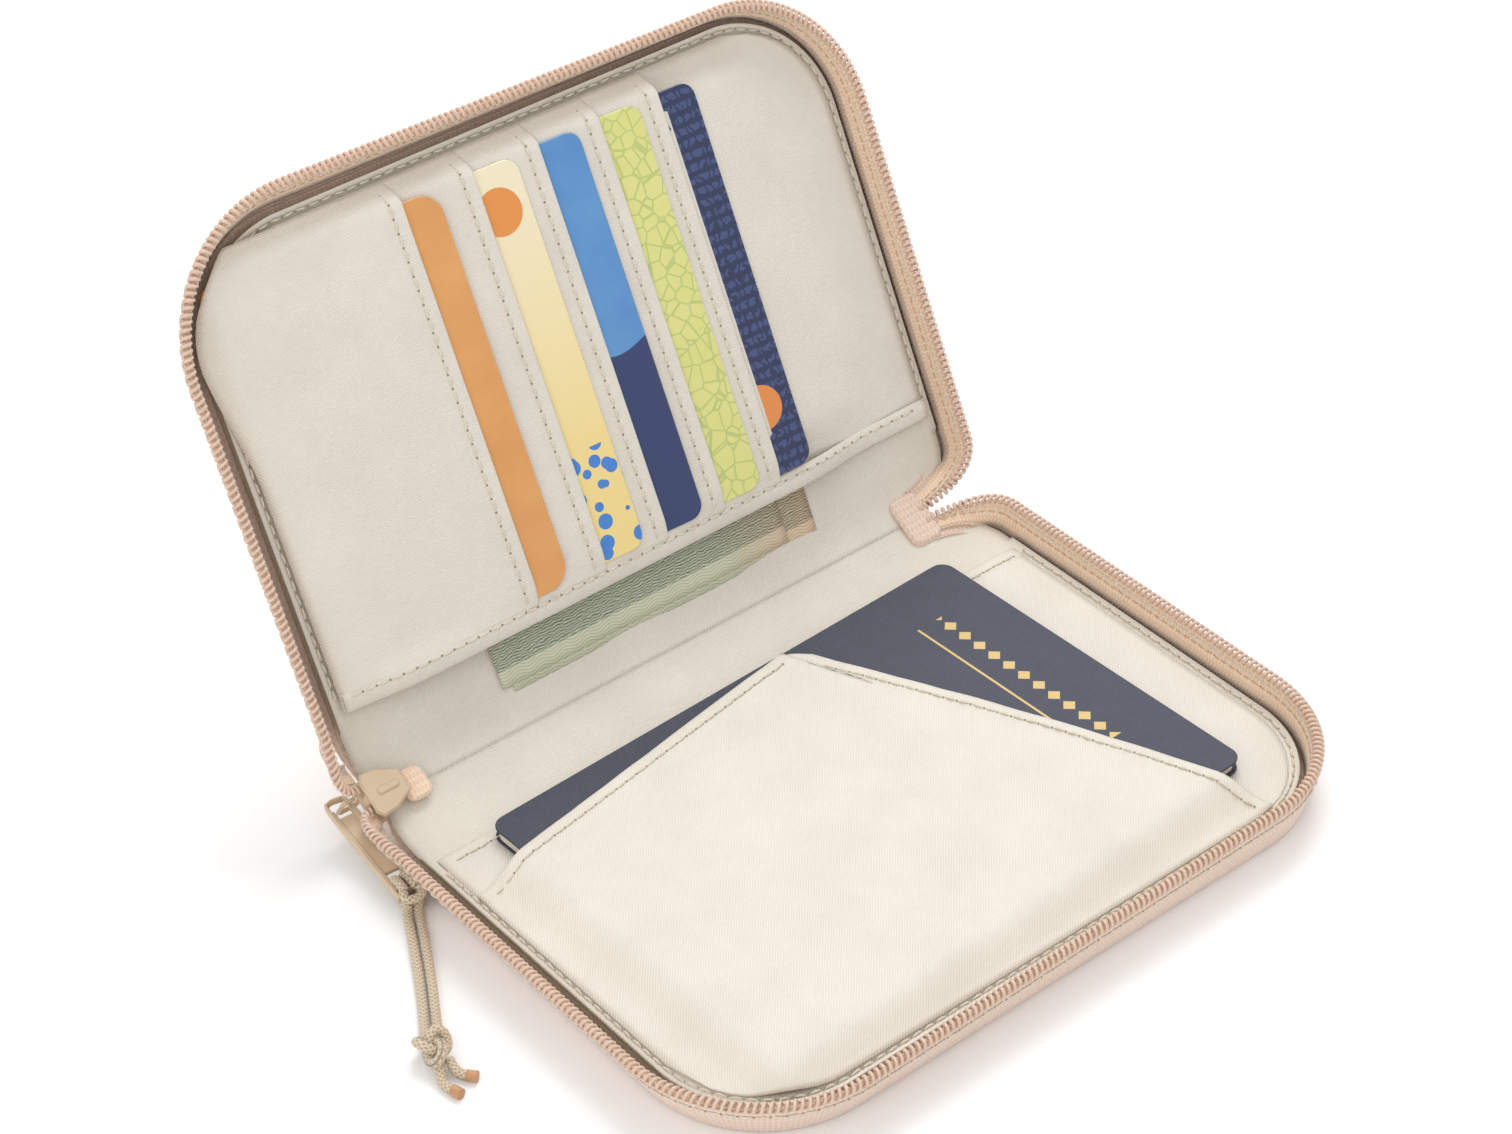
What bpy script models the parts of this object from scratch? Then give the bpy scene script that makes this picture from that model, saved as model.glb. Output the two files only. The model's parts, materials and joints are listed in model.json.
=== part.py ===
"""A zip-around travel wallet, standing open: one leaf flat on the table, the other raised, both hinged on the spine.

+X runs along the spine, the lower leaf lies towards -Y, and Z = 0 is the table under it. Sizes are in millimetres.
Places are counted from the line where the two leaves' outer faces would meet, which wallet_frame puts behind the
origin, so that the origin is under the middle of the lower leaf.
"""

import math

import bmesh
import bpy
from mathutils import Matrix, Vector

MM = 0.001

# Leaves. Depths run outward from the line where the two leaves' shells would meet.
HALF_WIDTH = 81.0
DEPTH = 123.5
CORNER_RADIUS = 27.0
CORNER_STEPS = 8
OPEN_ANGLE = 63.4
SPINE_WIDTH = 24.0
SPINE_HALF_LENGTH = 66.0
HINGE_HEIGHT = 0.4
LEAF_MIDDLE = 69.0
GAP = 0.3

# Layers of a leaf, as heights above the table when the leaf lies flat.
SHELL = (0.0, 0.8)
BOARD = (1.1, 2.0)
FOAM = (2.3, 3.7)
LINING = (4.0, 4.4)
LINING_INSET = 2.0
STACK_START = 16.2

# The zip: a band outside, the tape inside it and the coil on top, leaning out more on the left.
BAND = (1.1, 8.6)
TAPE = (4.8, 9.9)
COIL = (10.2, 12.2)
WALL_THICKNESS = 0.6
COIL_THICKNESS = 2.2
LEAN_MIDDLE = 3.8
LEAN_SLOPE = 1.7
LEFT_WALL_START = 24.0
RIGHT_WALL_START = 17.5

# Pockets and what they hold.
SEAM_INSET = 3.6
SLIP_EDGE = 23.0
SLIP_PANEL = (4.7, 5.1)
PASSPORT_CORNER = (59.8, -19.5)
PASSPORT_SIZE = (125.0, 88.0)
PASSPORT_TURN = 2.0
PASSPORT_COVER = (5.4, 8.5)
COVER_THICKNESS = 0.5
PASSPORT_PANEL = (8.8, 9.2)
NOTE_POCKET_EDGE = 24.4
NOTES = (4.7, 5.7)
NOTES_LEFT = -42.5
NOTES_RIGHT = 42.0
NOTES_EDGE = 9.9
NOTES_TOP = 70.0
BASE_PANEL = (6.0, 6.4)

# The card slots overlap like roof tiles, so each card tilts about the height of the leaf.
CARD_SIZE = (53.98, 85.6, 0.76)
CARD_RIGHT_EDGES = (-22.5, -3.2, 12.6, 28.2, 42.2)
SLOT_EDGES = (-30.7, -13.3, 3.0, 18.4, 33.6)
CARD_BOTTOM = 29.2
CARD_CORNER = 3.18
CARD_COLOURS = (
    (0.80, 0.45, 0.14), (0.93, 0.86, 0.40), (0.16, 0.38, 0.72), (0.66, 0.74, 0.20), (0.07, 0.10, 0.26),
)
SHEET_CORNER_STEPS = 4
SLOT_LEFT_CORNER = 13.0
SLOT_RIGHT_CORNER = 0.5
CARD_TILT = 5.4
CARD_EDGE_HEIGHT = 12.0
SLOT_PANEL_THICKNESS = 0.3
SLOT_PANEL_LIFT = 0.72
SLOT_BOTTOM = 28.0
SLOT_TOP = 116.5

# The slider sits on the spine's left end, with its pull and cord hanging to the table.
SLIDER_CENTRE = (-77.0, 13.2)
SLIDER_LENGTH = 9.0
SLIDER_WIDTH = 10.0
SLIDER_OUTER = (0.6, 1.9)
SLIDER_INNER = (5.4, 6.7)
SLIDER_NECK = 3.0
PULL_PIVOT = (-84.5, 15.5, -1.4)
BAR_CENTRE = (-86.0, -24.0, 4.2)
BAR_HALF = 1.2
PULL_WIDTH = 5.6
PULL_THICKNESS = 1.8
PULL_HEAD = 2.5
PULL_HOLE_RADIUS = 1.5
PULL_WINDOW = (3.4, 3.7)
BAIL_RADIUS = 0.5
BAIL_CLEARANCE = 1.3

# The cord is hitched round the pull's bar and lies on the table, its two ends knotted together.
CORD_RADIUS = 1.0
HITCH_RADIUS = 3.0
HITCH_OPENING = 25.0
LEG_A = (
    (-88.6, -28.6, 1.1), (-91.4, -34.0, 1.1), (-94.4, -39.6, 1.1), (-97.6, -45.4, 1.1), (-101.0, -51.2, 1.1),
    (-104.6, -57.0, 1.4),
)
LEG_B_OFFSET = (2.0, -1.1)
KNOT_CENTRE = (-106.6, -63.0, 3.8)
KNOT_SIZE = (3.9, 5.2, 3.6)
KNOT_TURN = -22.0
TIP_A = ((-105.7, -69.4, 1.1), (-103.8, -72.2, 1.1))
TIP_B = ((-109.4, -69.8, 1.1), (-108.6, -73.8, 1.1))

WARM_BEIGE = (0.62, 0.46, 0.32)


def start_collection(name):
    made = bpy.data.collections.new(name)
    bpy.context.scene.collection.children.link(made)
    return made


def material(name, colour, roughness, metallic=0.0):
    found = bpy.data.materials.get(name)
    if found:
        return found
    made = bpy.data.materials.new(name)
    made.use_nodes = True
    shader = made.node_tree.nodes["Principled BSDF"]
    shader.inputs["Base Color"].default_value = (*colour, 1.0)
    shader.inputs["Roughness"].default_value = roughness
    shader.inputs["Metallic"].default_value = metallic
    made.diffuse_color = (*colour, 1.0)
    return made


def frame_empty(name, place, turn=(0.0, 0.0, 0.0), parent=None):
    empty = bpy.data.objects.new(name, None)
    empty.location = Vector(place) * MM
    empty.rotation_euler = [math.radians(angle) for angle in turn]
    empty.parent = parent
    wallet.objects.link(empty)
    return empty


def add(name, data, finish, parent, location=(0.0, 0.0, 0.0)):
    made = bpy.data.objects.new(name, data)
    made.data.materials.append(finish)
    wallet.objects.link(made)
    made.parent = parent
    made.location = Vector(location) * MM
    return made


class Leaf:
    """One leaf: its frame, and which way depth runs in it."""

    def __init__(self, name, frame, sign):
        self.name = name
        self.frame = frame
        self.sign = sign


def edge_path(inset, left_start, right_start):
    """Points (x, depth, outward normal) round a leaf from the left end of the fold to the right end."""
    half_width = HALF_WIDTH - inset
    depth = DEPTH - inset
    radius = CORNER_RADIUS - inset
    path = [(-half_width, left_start, -1.0, 0.0)]
    for step in range(CORNER_STEPS + 1):
        angle = math.pi - step * math.pi / 2 / CORNER_STEPS
        out = (math.cos(angle), math.sin(angle))
        path.append((radius * out[0] - half_width + radius, radius * out[1] + depth - radius, *out))
    for step in range(CORNER_STEPS + 1):
        angle = math.pi / 2 - step * math.pi / 2 / CORNER_STEPS
        out = (math.cos(angle), math.sin(angle))
        path.append((radius * out[0] + half_width - radius, radius * out[1] + depth - radius, *out))
    path.append((half_width, right_start, 1.0, 0.0))
    return path


def flat_curve(name, corners, thickness):
    """A closed flat outline, thickened about its own plane."""
    curve = bpy.data.curves.new(name, "CURVE")
    curve.dimensions = "2D"
    curve.fill_mode = "BOTH"
    curve.extrude = thickness / 2 * MM
    spline = curve.splines.new("POLY")
    spline.points.add(len(corners) - 1)
    for point, (x, y) in zip(spline.points, corners):
        point.co = (x * MM, y * MM, 0.0, 1.0)
    spline.use_cyclic_u = True
    return curve


def leaf_plate(part, outline, heights, finish, leaf):
    """A flat layer of a leaf. The outline is (x, depth)."""
    low, high = heights
    corners = [(x, depth * leaf.sign) for x, depth in outline]
    data = flat_curve(part, corners, high - low)
    return add(part, data, finish, leaf.frame, (0.0, 0.0, (low + high) / 2 - HINGE_HEIGHT))


def leaf_outline(inset, start):
    return [point[:2] for point in edge_path(inset, start, start)]


def prism(name, corners, length, finish, parent, location=(0.0, 0.0, 0.0)):
    """A Y-Z outline, centred on X."""
    data = flat_curve(name, corners, length)
    made = add(name, data, finish, parent, location)
    made.rotation_euler = (math.pi / 2, 0.0, math.pi / 2)
    return made


def box(name, size, finish, parent, location, turn=(0.0, 0.0, 0.0)):
    mesh = bpy.data.meshes.new(name)
    shape = bmesh.new()
    bmesh.ops.create_cube(shape, size=1.0)
    bmesh.ops.scale(shape, vec=Vector(size) * MM, verts=shape.verts)
    shape.to_mesh(mesh)
    shape.free()
    made = add(name, mesh, finish, parent, location)
    made.rotation_euler = turn
    return made


def loft(name, rings, finish, parent):
    """A closed solid through rings of points that all have the same count."""
    mesh = bpy.data.meshes.new(name)
    shape = bmesh.new()
    rows = [[shape.verts.new(Vector(point) * MM) for point in ring] for ring in rings]
    for first, second in zip(rows, rows[1:]):
        for index in range(len(first)):
            after = (index + 1) % len(first)
            shape.faces.new((first[index], first[after], second[after], second[index]))
    shape.faces.new(rows[0][::-1])
    shape.faces.new(rows[-1])
    bmesh.ops.recalc_face_normals(shape, faces=shape.faces)
    shape.to_mesh(mesh)
    shape.free()
    return add(name, mesh, finish, parent)


def tube(name, points, radius, finish, parent):
    curve = bpy.data.curves.new(name, "CURVE")
    curve.dimensions = "3D"
    curve.bevel_depth = radius * MM
    curve.bevel_resolution = 2
    curve.use_fill_caps = True
    spline = curve.splines.new("POLY")
    spline.points.add(len(points) - 1)
    for point, place in zip(spline.points, points):
        point.co = (*(Vector(place) * MM), 1.0)
    return add(name, curve, finish, parent)


def lean_at(x):
    """How far the zip leans out at its top, at this place along the spine."""
    return LEAN_MIDDLE - LEAN_SLOPE * x / HALF_WIDTH


def wall_shift(x, height):
    """How far outward the zip wall stands at this height."""
    return lean_at(x) * (height - BAND[0]) / (COIL[1] - BAND[0])


def wall(part, inset, heights, thickness, finish, leaf):
    """A strip that stands round the edge of a leaf and leans outward. The inset is that of its outer face's foot."""
    rings = []
    for x, depth, out_x, out_depth in edge_path(inset, LEFT_WALL_START, RIGHT_WALL_START):
        ring = []
        for height, back in ((heights[0], 0), (heights[1], 0), (heights[1], thickness), (heights[0], thickness)):
            shift = wall_shift(x, height) - back
            place_depth = (depth + out_depth * shift) * leaf.sign
            ring.append((x + out_x * shift, place_depth, height - HINGE_HEIGHT))
        rings.append(ring)
    return loft(part, rings, finish, leaf.frame)


def leaf_layers(leaf):
    """The layers that both leaves share."""
    name = leaf.name
    shell = material("shell_cloth", (0.78, 0.62, 0.50), 0.85)
    cream = material("lining_cloth", (0.82, 0.78, 0.69), 0.75)
    start = (SPINE_WIDTH / 2) / math.cos(math.radians(OPEN_ANGLE / 2)) + GAP
    leaf_plate(name + "_shell", leaf_outline(0.0, start), SHELL, shell, leaf)
    leaf_plate(name + "_board", leaf_outline(2.4, STACK_START), BOARD, material("board", (0.35, 0.35, 0.36), 0.6), leaf)
    leaf_plate(name + "_foam", leaf_outline(3.0, STACK_START), FOAM, material("foam", (0.7, 0.7, 0.68), 0.9), leaf)
    leaf_plate(name + "_lining", leaf_outline(LINING_INSET, STACK_START), LINING, cream, leaf)
    wall(name + "_edge_band", 0.2, BAND, WALL_THICKNESS, shell, leaf)
    tape_finish = material("zip_tape", (0.87, 0.65, 0.46), 0.8)
    wall(name + "_zip_tape", 0.2 + WALL_THICKNESS + GAP, TAPE, WALL_THICKNESS, tape_finish, leaf)
    coil_finish = material("zip_coil", (0.73, 0.52, 0.40), 0.45)
    wall(name + "_zip_coil", 0.2, COIL, COIL_THICKNESS, coil_finish, leaf)


def passport_pocket_outline():
    """The pocket covers the passport's left end and most of its face, with a slanting right edge."""
    edge = [(-HALF_WIDTH + SEAM_INSET, 37.0), (4.0, 23.4), (12.0, 22.8), (17.0, 26.5)]
    edge.append((59.5, DEPTH - SEAM_INSET))
    front = [place for place in leaf_outline(SEAM_INSET, STACK_START) if place[0] < 0 and place[1] > 60]
    return edge + front[::-1]


def lower_pockets(leaf):
    cream = material("lining_cloth", (0.82, 0.78, 0.69), 0.75)
    leaf_plate("slip_pocket_panel", leaf_outline(SEAM_INSET, SLIP_EDGE), SLIP_PANEL, cream, leaf)
    leaf_plate("passport_pocket_panel", passport_pocket_outline(), PASSPORT_PANEL, cream, leaf)


def passport():
    """A booklet: one cover wrapped round the pages, bound on the side towards the fold."""
    length, width = PASSPORT_SIZE
    low, high = PASSPORT_COVER
    booklet = frame_empty("passport_frame", (*PASSPORT_CORNER, 0.0), (0.0, 0.0, PASSPORT_TURN), whole)
    inner = COVER_THICKNESS
    section = [(0, low), (0, high), (-width, high), (-width, high - inner), (-inner, high - inner)]
    section += [(-inner, low + inner), (-width, low + inner), (-width, low)]
    navy = material("passport_cover", (0.045, 0.05, 0.08), 0.6)
    prism("passport_cover", section, length, navy, booklet, (-length / 2, 0.0, 0.0))
    page_size = (length - 3.0, width - 3.4, high - low - 2 * inner - 0.4)
    page_place = (-length / 2, -width / 2 + 0.2, (low + high) / 2)
    box("passport_pages", page_size, material("pages", (0.86, 0.84, 0.78), 0.8), booklet, page_place)


def rounded_sheet(width, height, left_radius, right_radius):
    """A sheet centred on the origin, with one radius for its two left corners and one for its right."""
    corners = []
    places = ((1, 1, right_radius), (-1, 1, left_radius), (-1, -1, left_radius), (1, -1, right_radius))
    for turn, (side_x, side_y, radius) in enumerate(places):
        for step in range(SHEET_CORNER_STEPS + 1):
            angle = (turn + step / SHEET_CORNER_STEPS) * math.pi / 2
            x = side_x * (width / 2 - radius) + radius * math.cos(angle)
            y = side_y * (height / 2 - radius) + radius * math.sin(angle)
            corners.append((x, y))
    return corners


def tilted(part, right_edge, left_edge, bottom, top, thickness, lift, radii, finish, leaf):
    """A sheet in a card slot: its right edge is the high one, and it dips to the left."""
    tilt = math.radians(CARD_TILT)
    width = (right_edge - left_edge) / math.cos(tilt)
    middle_x = (right_edge + left_edge) / 2 - lift * math.sin(tilt)
    middle_height = CARD_EDGE_HEIGHT - width / 2 * math.sin(tilt) + lift * math.cos(tilt)
    data = flat_curve(part, rounded_sheet(width, top - bottom, *radii), thickness)
    place = (middle_x, leaf.sign * (bottom + top) / 2, middle_height - HINGE_HEIGHT)
    made = add(part, data, finish, leaf.frame, place)
    made.rotation_euler = (0.0, -tilt, 0.0)
    return made


def card_slots(leaf):
    """Five overlapping slots, each with a card that slides out to the right along its own plane."""
    cream = material("lining_cloth", (0.82, 0.78, 0.69), 0.75)
    base = leaf_outline(SEAM_INSET, NOTE_POCKET_EDGE)
    leaf_plate("note_pocket_panel", base, BASE_PANEL, cream, leaf)
    width, height, thickness = CARD_SIZE
    for index, (slot, edge) in enumerate(zip(SLOT_EDGES, CARD_RIGHT_EDGES)):
        name = f"card_{index + 1}"
        left = edge - width * math.cos(math.radians(CARD_TILT))
        top = CARD_BOTTOM + height
        finish = material(name, CARD_COLOURS[index], 0.35)
        tilted(name, edge, left, CARD_BOTTOM, top, thickness, 0.0, (CARD_CORNER, CARD_CORNER), finish, leaf)
        panel = tilted(
            f"card_slot_panel_{index + 1}", slot, left, SLOT_BOTTOM, SLOT_TOP, SLOT_PANEL_THICKNESS,
            SLOT_PANEL_LIFT, (SLOT_LEFT_CORNER, SLOT_RIGHT_CORNER), cream, leaf,
        )
        # The panel's plane is its card's, and the card's edge stands out beyond the slot.
        panel.location.z -= (edge - slot) * math.tan(math.radians(CARD_TILT)) * MM


def banknotes(leaf):
    outline = [(NOTES_LEFT, NOTES_EDGE), (NOTES_RIGHT, NOTES_EDGE), (NOTES_RIGHT, NOTES_TOP), (NOTES_LEFT, NOTES_TOP)]
    leaf_plate("banknotes", outline, NOTES, material("banknotes", (0.55, 0.60, 0.50), 0.8), leaf)


def spine_parts(spine):
    """The two cloth layers of the spine, and the sewn-down ends of the zip."""
    shell = material("shell_cloth", (0.78, 0.62, 0.50), 0.85)
    cream = material("lining_cloth", (0.82, 0.78, 0.69), 0.75)
    tape = material("zip_tape", (0.87, 0.65, 0.46), 0.8)
    edge = 0.6
    width = SPINE_WIDTH - 2 * edge
    middle = SPINE_WIDTH / 2
    box("spine_shell", (2 * SPINE_HALF_LENGTH + 3.0, width, 0.7), shell, spine, (0.0, middle, -0.05))
    box("spine_lining", (2 * SPINE_HALF_LENGTH, width - 0.4, 0.4), cream, spine, (0.0, middle, 0.8))
    stop_size = (7.0, 12.0, 2.4)
    box("zip_end_right", stop_size, tape, spine, (SPINE_HALF_LENGTH - 1.5, middle, 2.5))
    box("zip_end_left", (6.0, 8.0, 2.0), tape, spine, (-SPINE_HALF_LENGTH - 4.2, middle, 3.65))


def slider(spine):
    """The slider's two plates and its neck, made as one cast piece, with the bridge that holds the pull."""
    cast = material("slider_enamel", WARM_BEIGE, 0.5)
    x, along = SLIDER_CENTRE
    low = SLIDER_OUTER[0]
    high = SLIDER_INNER[1]
    half = SLIDER_LENGTH / 2
    section = [(-half, low), (half, low), (half, SLIDER_OUTER[1]), (-half + SLIDER_NECK, SLIDER_OUTER[1])]
    section += [(-half + SLIDER_NECK, SLIDER_INNER[0]), (half, SLIDER_INNER[0]), (half, high), (-half, high)]
    data = flat_curve("slider_body", section, SLIDER_WIDTH)
    body = add("slider_body", data, cast, spine, (x, along, 0.0))
    body.rotation_euler = (math.pi / 2, 0.0, 0.0)
    return body


def bail(spine):
    """The wire bridge on the slider's outer plate, which the pull hangs on."""
    x, along, height = PULL_PIVOT
    slider_left = SLIDER_CENTRE[0] - SLIDER_LENGTH / 2
    plate_middle = sum(SLIDER_OUTER) / 2
    below = height - PULL_THICKNESS / 2 - BAIL_RADIUS - BAIL_CLEARANCE
    inner_x = slider_left + 1.6
    route = [(slider_left - GAP, along, plate_middle), (x + 0.6, along, plate_middle)]
    route += [(x, along, plate_middle - 0.6), (x, along, below + 0.6), (x + 0.6, along, below)]
    route += [(inner_x - 0.6, along, below), (inner_x, along, below + 0.6)]
    route += [(inner_x, along, SLIDER_OUTER[0] - GAP)]
    tube("slider_bail", route, BAIL_RADIUS, material("slider_enamel", WARM_BEIGE, 0.5), spine)


def cutter(name, mesh, place, axes):
    """A hidden solid for a Boolean, with its own axes given as columns."""
    tool = bpy.data.objects.new(name, mesh)
    cutters.objects.link(tool)
    tool.parent = whole
    tool.matrix_local = Matrix.Translation(Vector(place) * MM) @ Matrix(axes).transposed().to_4x4()
    tool.hide_render = True
    tool.display_type = "WIRE"
    return tool


def cut(item, tool):
    modifier = item.modifiers.new(tool.name, "BOOLEAN")
    modifier.operation = "DIFFERENCE"
    modifier.solver = "EXACT"
    modifier.object = tool


def pull_axes():
    """The pull's pivot in the world, and its length, width and thickness directions."""
    turn = math.radians(OPEN_ANGLE / 2)
    x, along, height = PULL_PIVOT
    y = -fold + along * math.cos(turn) - height * math.sin(turn)
    z = HINGE_HEIGHT + along * math.sin(turn) + height * math.cos(turn)
    top = Vector((x, y, z))
    length = (Vector(BAR_CENTRE) - top).normalized()
    width = length.cross(Vector((0.0, 0.0, 1.0))).normalized()
    return top, length, width, width.cross(length).normalized()


def puller():
    """The cast pull: a plate with an eye for the bail and a window that leaves a bar for the cord."""
    top, length, width, out = pull_axes()
    bottom = Vector(BAR_CENTRE)
    rings = []
    stations = ((top - length * PULL_HEAD, 0.55), (top, 1.0), (bottom + length * BAR_HALF, 1.0))
    for place, share in stations:
        half = PULL_WIDTH / 2 * share
        corners = ((-1, -1), (1, -1), (1, 1), (-1, 1))
        rings.append([place + width * side * half + out * lift * PULL_THICKNESS / 2 for side, lift in corners])
    tab = loft("puller_tab", rings, material("slider_enamel", WARM_BEIGE, 0.5), whole)

    eye = bpy.data.meshes.new("puller_eye_cutter")
    shape = bmesh.new()
    radius = PULL_HOLE_RADIUS * MM
    bmesh.ops.create_cone(shape, cap_ends=True, segments=20, radius1=radius, radius2=radius, depth=8 * MM)
    shape.to_mesh(eye)
    shape.free()
    cut(tab, cutter("puller_eye_cutter", eye, top, (width, length, -out)))

    window = bpy.data.meshes.new("puller_window_cutter")
    shape = bmesh.new()
    bmesh.ops.create_cube(shape, size=1.0)
    bmesh.ops.scale(shape, vec=Vector((PULL_WINDOW[0], PULL_WINDOW[1], 8.0)) * MM, verts=shape.verts)
    shape.to_mesh(window)
    shape.free()
    middle = bottom - length * (BAR_HALF + PULL_WINDOW[1] / 2)
    cut(tab, cutter("puller_window_cutter", window, middle, (width, length, -out)))


def pull_cord():
    """The doubled cord: a hitch round the bar, two legs, one knot and two melted ends."""
    braid = material("pull_cord", (0.72, 0.58, 0.40), 0.8)
    sealed = material("cord_ends", (0.62, 0.38, 0.20), 0.5)
    length, out = pull_axes()[1::2]
    bar = Vector(BAR_CENTRE)
    hitch = []
    steps = 22
    for step in range(steps + 1):
        angle = math.radians(HITCH_OPENING + (360 - 2 * HITCH_OPENING) * step / steps)
        hitch.append(bar + (length * math.cos(angle) + out * math.sin(angle)) * HITCH_RADIUS)
    tube("pull_cord_hitch", hitch, CORD_RADIUS, braid, whole)
    tube("pull_cord_leg_a", LEG_A, CORD_RADIUS, braid, whole)
    shift = LEG_B_OFFSET
    tube("pull_cord_leg_b", [(x + shift[0], y + shift[1], z) for x, y, z in LEG_A], CORD_RADIUS, braid, whole)
    mesh = bpy.data.meshes.new("pull_cord_knot")
    shape = bmesh.new()
    bmesh.ops.create_uvsphere(shape, u_segments=20, v_segments=12, radius=1.0)
    bmesh.ops.scale(shape, vec=Vector(KNOT_SIZE) * MM, verts=shape.verts)
    shape.to_mesh(mesh)
    shape.free()
    knot = add("pull_cord_knot", mesh, braid, whole, KNOT_CENTRE)
    knot.rotation_euler = (0.0, 0.0, math.radians(KNOT_TURN))
    tube("pull_cord_end_a", TIP_A, CORD_RADIUS, sealed, whole)
    tube("pull_cord_end_b", TIP_B, CORD_RADIUS, sealed, whole)


for item in list(bpy.data.objects):
    bpy.data.objects.remove(item, do_unlink=True)
wallet = start_collection("travel_wallet")
cutters = start_collection("cutters")
cutters.hide_render = True
whole = frame_empty("wallet_frame", (0, LEAF_MIDDLE, 0))
lower = Leaf("lower", frame_empty("lower_leaf_frame", (0, 0, HINGE_HEIGHT), parent=whole), -1)
upper = Leaf("upper", frame_empty("upper_leaf_frame", (0, 0, HINGE_HEIGHT), (OPEN_ANGLE, 0, 0), whole), 1)
fold = SPINE_WIDTH / 2 / math.cos(math.radians(OPEN_ANGLE / 2))
spine = frame_empty("spine_frame", (0, -fold, HINGE_HEIGHT), (OPEN_ANGLE / 2, 0, 0), whole)
leaf_layers(lower)
leaf_layers(upper)
lower_pockets(lower)
passport()
card_slots(upper)
banknotes(upper)
spine_parts(spine)
slider(spine)
bail(spine)
puller()
pull_cord()
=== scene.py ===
"""The looks of the travel wallet: its cloth, zip, contents, pull and cord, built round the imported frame.

Lengths here are millimetres until a mesh is made. Leaf places are (x, depth, height), with depth counted
outward from the line where the leaves' outer faces would meet, and height inward from a leaf's outer face.
"""

import json
import math

import bpy
import numpy as np
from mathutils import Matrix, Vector, noise

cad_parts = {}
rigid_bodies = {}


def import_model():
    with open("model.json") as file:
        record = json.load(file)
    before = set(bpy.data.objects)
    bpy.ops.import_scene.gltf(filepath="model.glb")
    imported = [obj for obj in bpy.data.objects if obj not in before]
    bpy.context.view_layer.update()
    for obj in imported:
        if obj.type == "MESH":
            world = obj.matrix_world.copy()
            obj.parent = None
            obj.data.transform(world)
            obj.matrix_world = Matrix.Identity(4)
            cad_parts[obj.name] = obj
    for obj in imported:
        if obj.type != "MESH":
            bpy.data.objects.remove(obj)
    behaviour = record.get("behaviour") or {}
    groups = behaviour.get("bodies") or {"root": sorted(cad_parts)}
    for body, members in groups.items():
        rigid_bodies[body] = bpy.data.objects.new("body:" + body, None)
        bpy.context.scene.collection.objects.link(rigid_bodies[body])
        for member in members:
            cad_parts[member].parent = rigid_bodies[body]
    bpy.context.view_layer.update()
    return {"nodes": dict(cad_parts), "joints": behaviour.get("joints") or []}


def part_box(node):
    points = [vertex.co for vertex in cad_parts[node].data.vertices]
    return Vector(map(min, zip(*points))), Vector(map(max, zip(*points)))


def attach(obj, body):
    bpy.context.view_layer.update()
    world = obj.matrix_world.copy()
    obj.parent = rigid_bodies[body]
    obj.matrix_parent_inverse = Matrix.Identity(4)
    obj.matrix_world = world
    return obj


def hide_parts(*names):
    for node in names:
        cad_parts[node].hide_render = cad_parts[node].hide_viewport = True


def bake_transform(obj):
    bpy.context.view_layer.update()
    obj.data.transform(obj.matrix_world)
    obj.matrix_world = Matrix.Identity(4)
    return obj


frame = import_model()
MM = 0.001

# ---------------------------------------------------------------- the frame's driving places
joints = {joint["name"]: joint for joint in frame["joints"]}
lower_hinge = np.array(joints["lower_fold"]["pos_m"]) / MM
upper_hinge = np.array(joints["upper_fold"]["pos_m"]) / MM
spine_run = upper_hinge - lower_hinge
SPINE_WIDTH = float(np.linalg.norm(spine_run))
SPINE_ANGLE = math.atan2(spine_run[2], spine_run[1])
OPEN_ANGLE = 2 * SPINE_ANGLE
HINGE_HEIGHT = float(lower_hinge[2])
FOLD_DEPTH = SPINE_WIDTH / 2 / math.cos(SPINE_ANGLE)
ORIGIN_Y = float(lower_hinge[1]) + FOLD_DEPTH
HALF_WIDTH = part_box("lower_shell")[1].x / MM
DEPTH = ORIGIN_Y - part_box("lower_shell")[0].y / MM
SPINE_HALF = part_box("spine_lining")[1].x / MM
CORNER_RADIUS = 27.0
LEFT_FOLD = 77.0

# ---------------------------------------------------------------- sizes of the cloth, zip and contents
CLOTH = 0.45
LINING_HEIGHT = 4.4
SEAM_INSET = 3.7
LINING_INSET = 1.6
FOLD_END = 21.0
SLIP_EDGE = 23.1
STITCH_PITCH = 3.0
PASSPORT_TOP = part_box("passport_cover")[1].z / MM
NOTE_EDGE = 24.4
SLOT_EDGES = (-30.7, -13.3, 3.0, 18.4, 33.6)
CARD_EDGES = (-22.5, -3.2, 12.6, 28.2, 42.2)
CARD_SIZE = (53.98, 85.6, 0.76)
CARD_BOTTOM = 29.2
CARD_TILT = math.radians(5.4)
CARD_EDGE_HEIGHT = 12.0
COIL_PITCH = 1.42
COIL_WIRE = 0.42
LEAN_MIDDLE = 3.8
LEAN_SLOPE = 1.7


def leaf_point(leaf, x, depth, height):
    if leaf == "lower":
        return np.array([x, ORIGIN_Y - depth, height])
    up, along = math.sin(OPEN_ANGLE), math.cos(OPEN_ANGLE)
    rise = height - HINGE_HEIGHT
    return np.array([x, ORIGIN_Y + depth * along - rise * up, HINGE_HEIGHT + depth * up + rise * along])


def spine_point(x, along, height):
    up, run = math.sin(SPINE_ANGLE), math.cos(SPINE_ANGLE)
    return np.array([x, lower_hinge[1] + along * run - height * up, HINGE_HEIGHT + along * up + height * run])


def smooth(low, high, value):
    share = min(max((value - low) / (high - low), 0.0), 1.0)
    return share * share * (3 - 2 * share)


def rough(x, y, size, seed=0.0):
    """Smooth noise from -1 to 1, with features of about this size."""
    return noise.noise(Vector((x / size, y / size, seed)))


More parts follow.
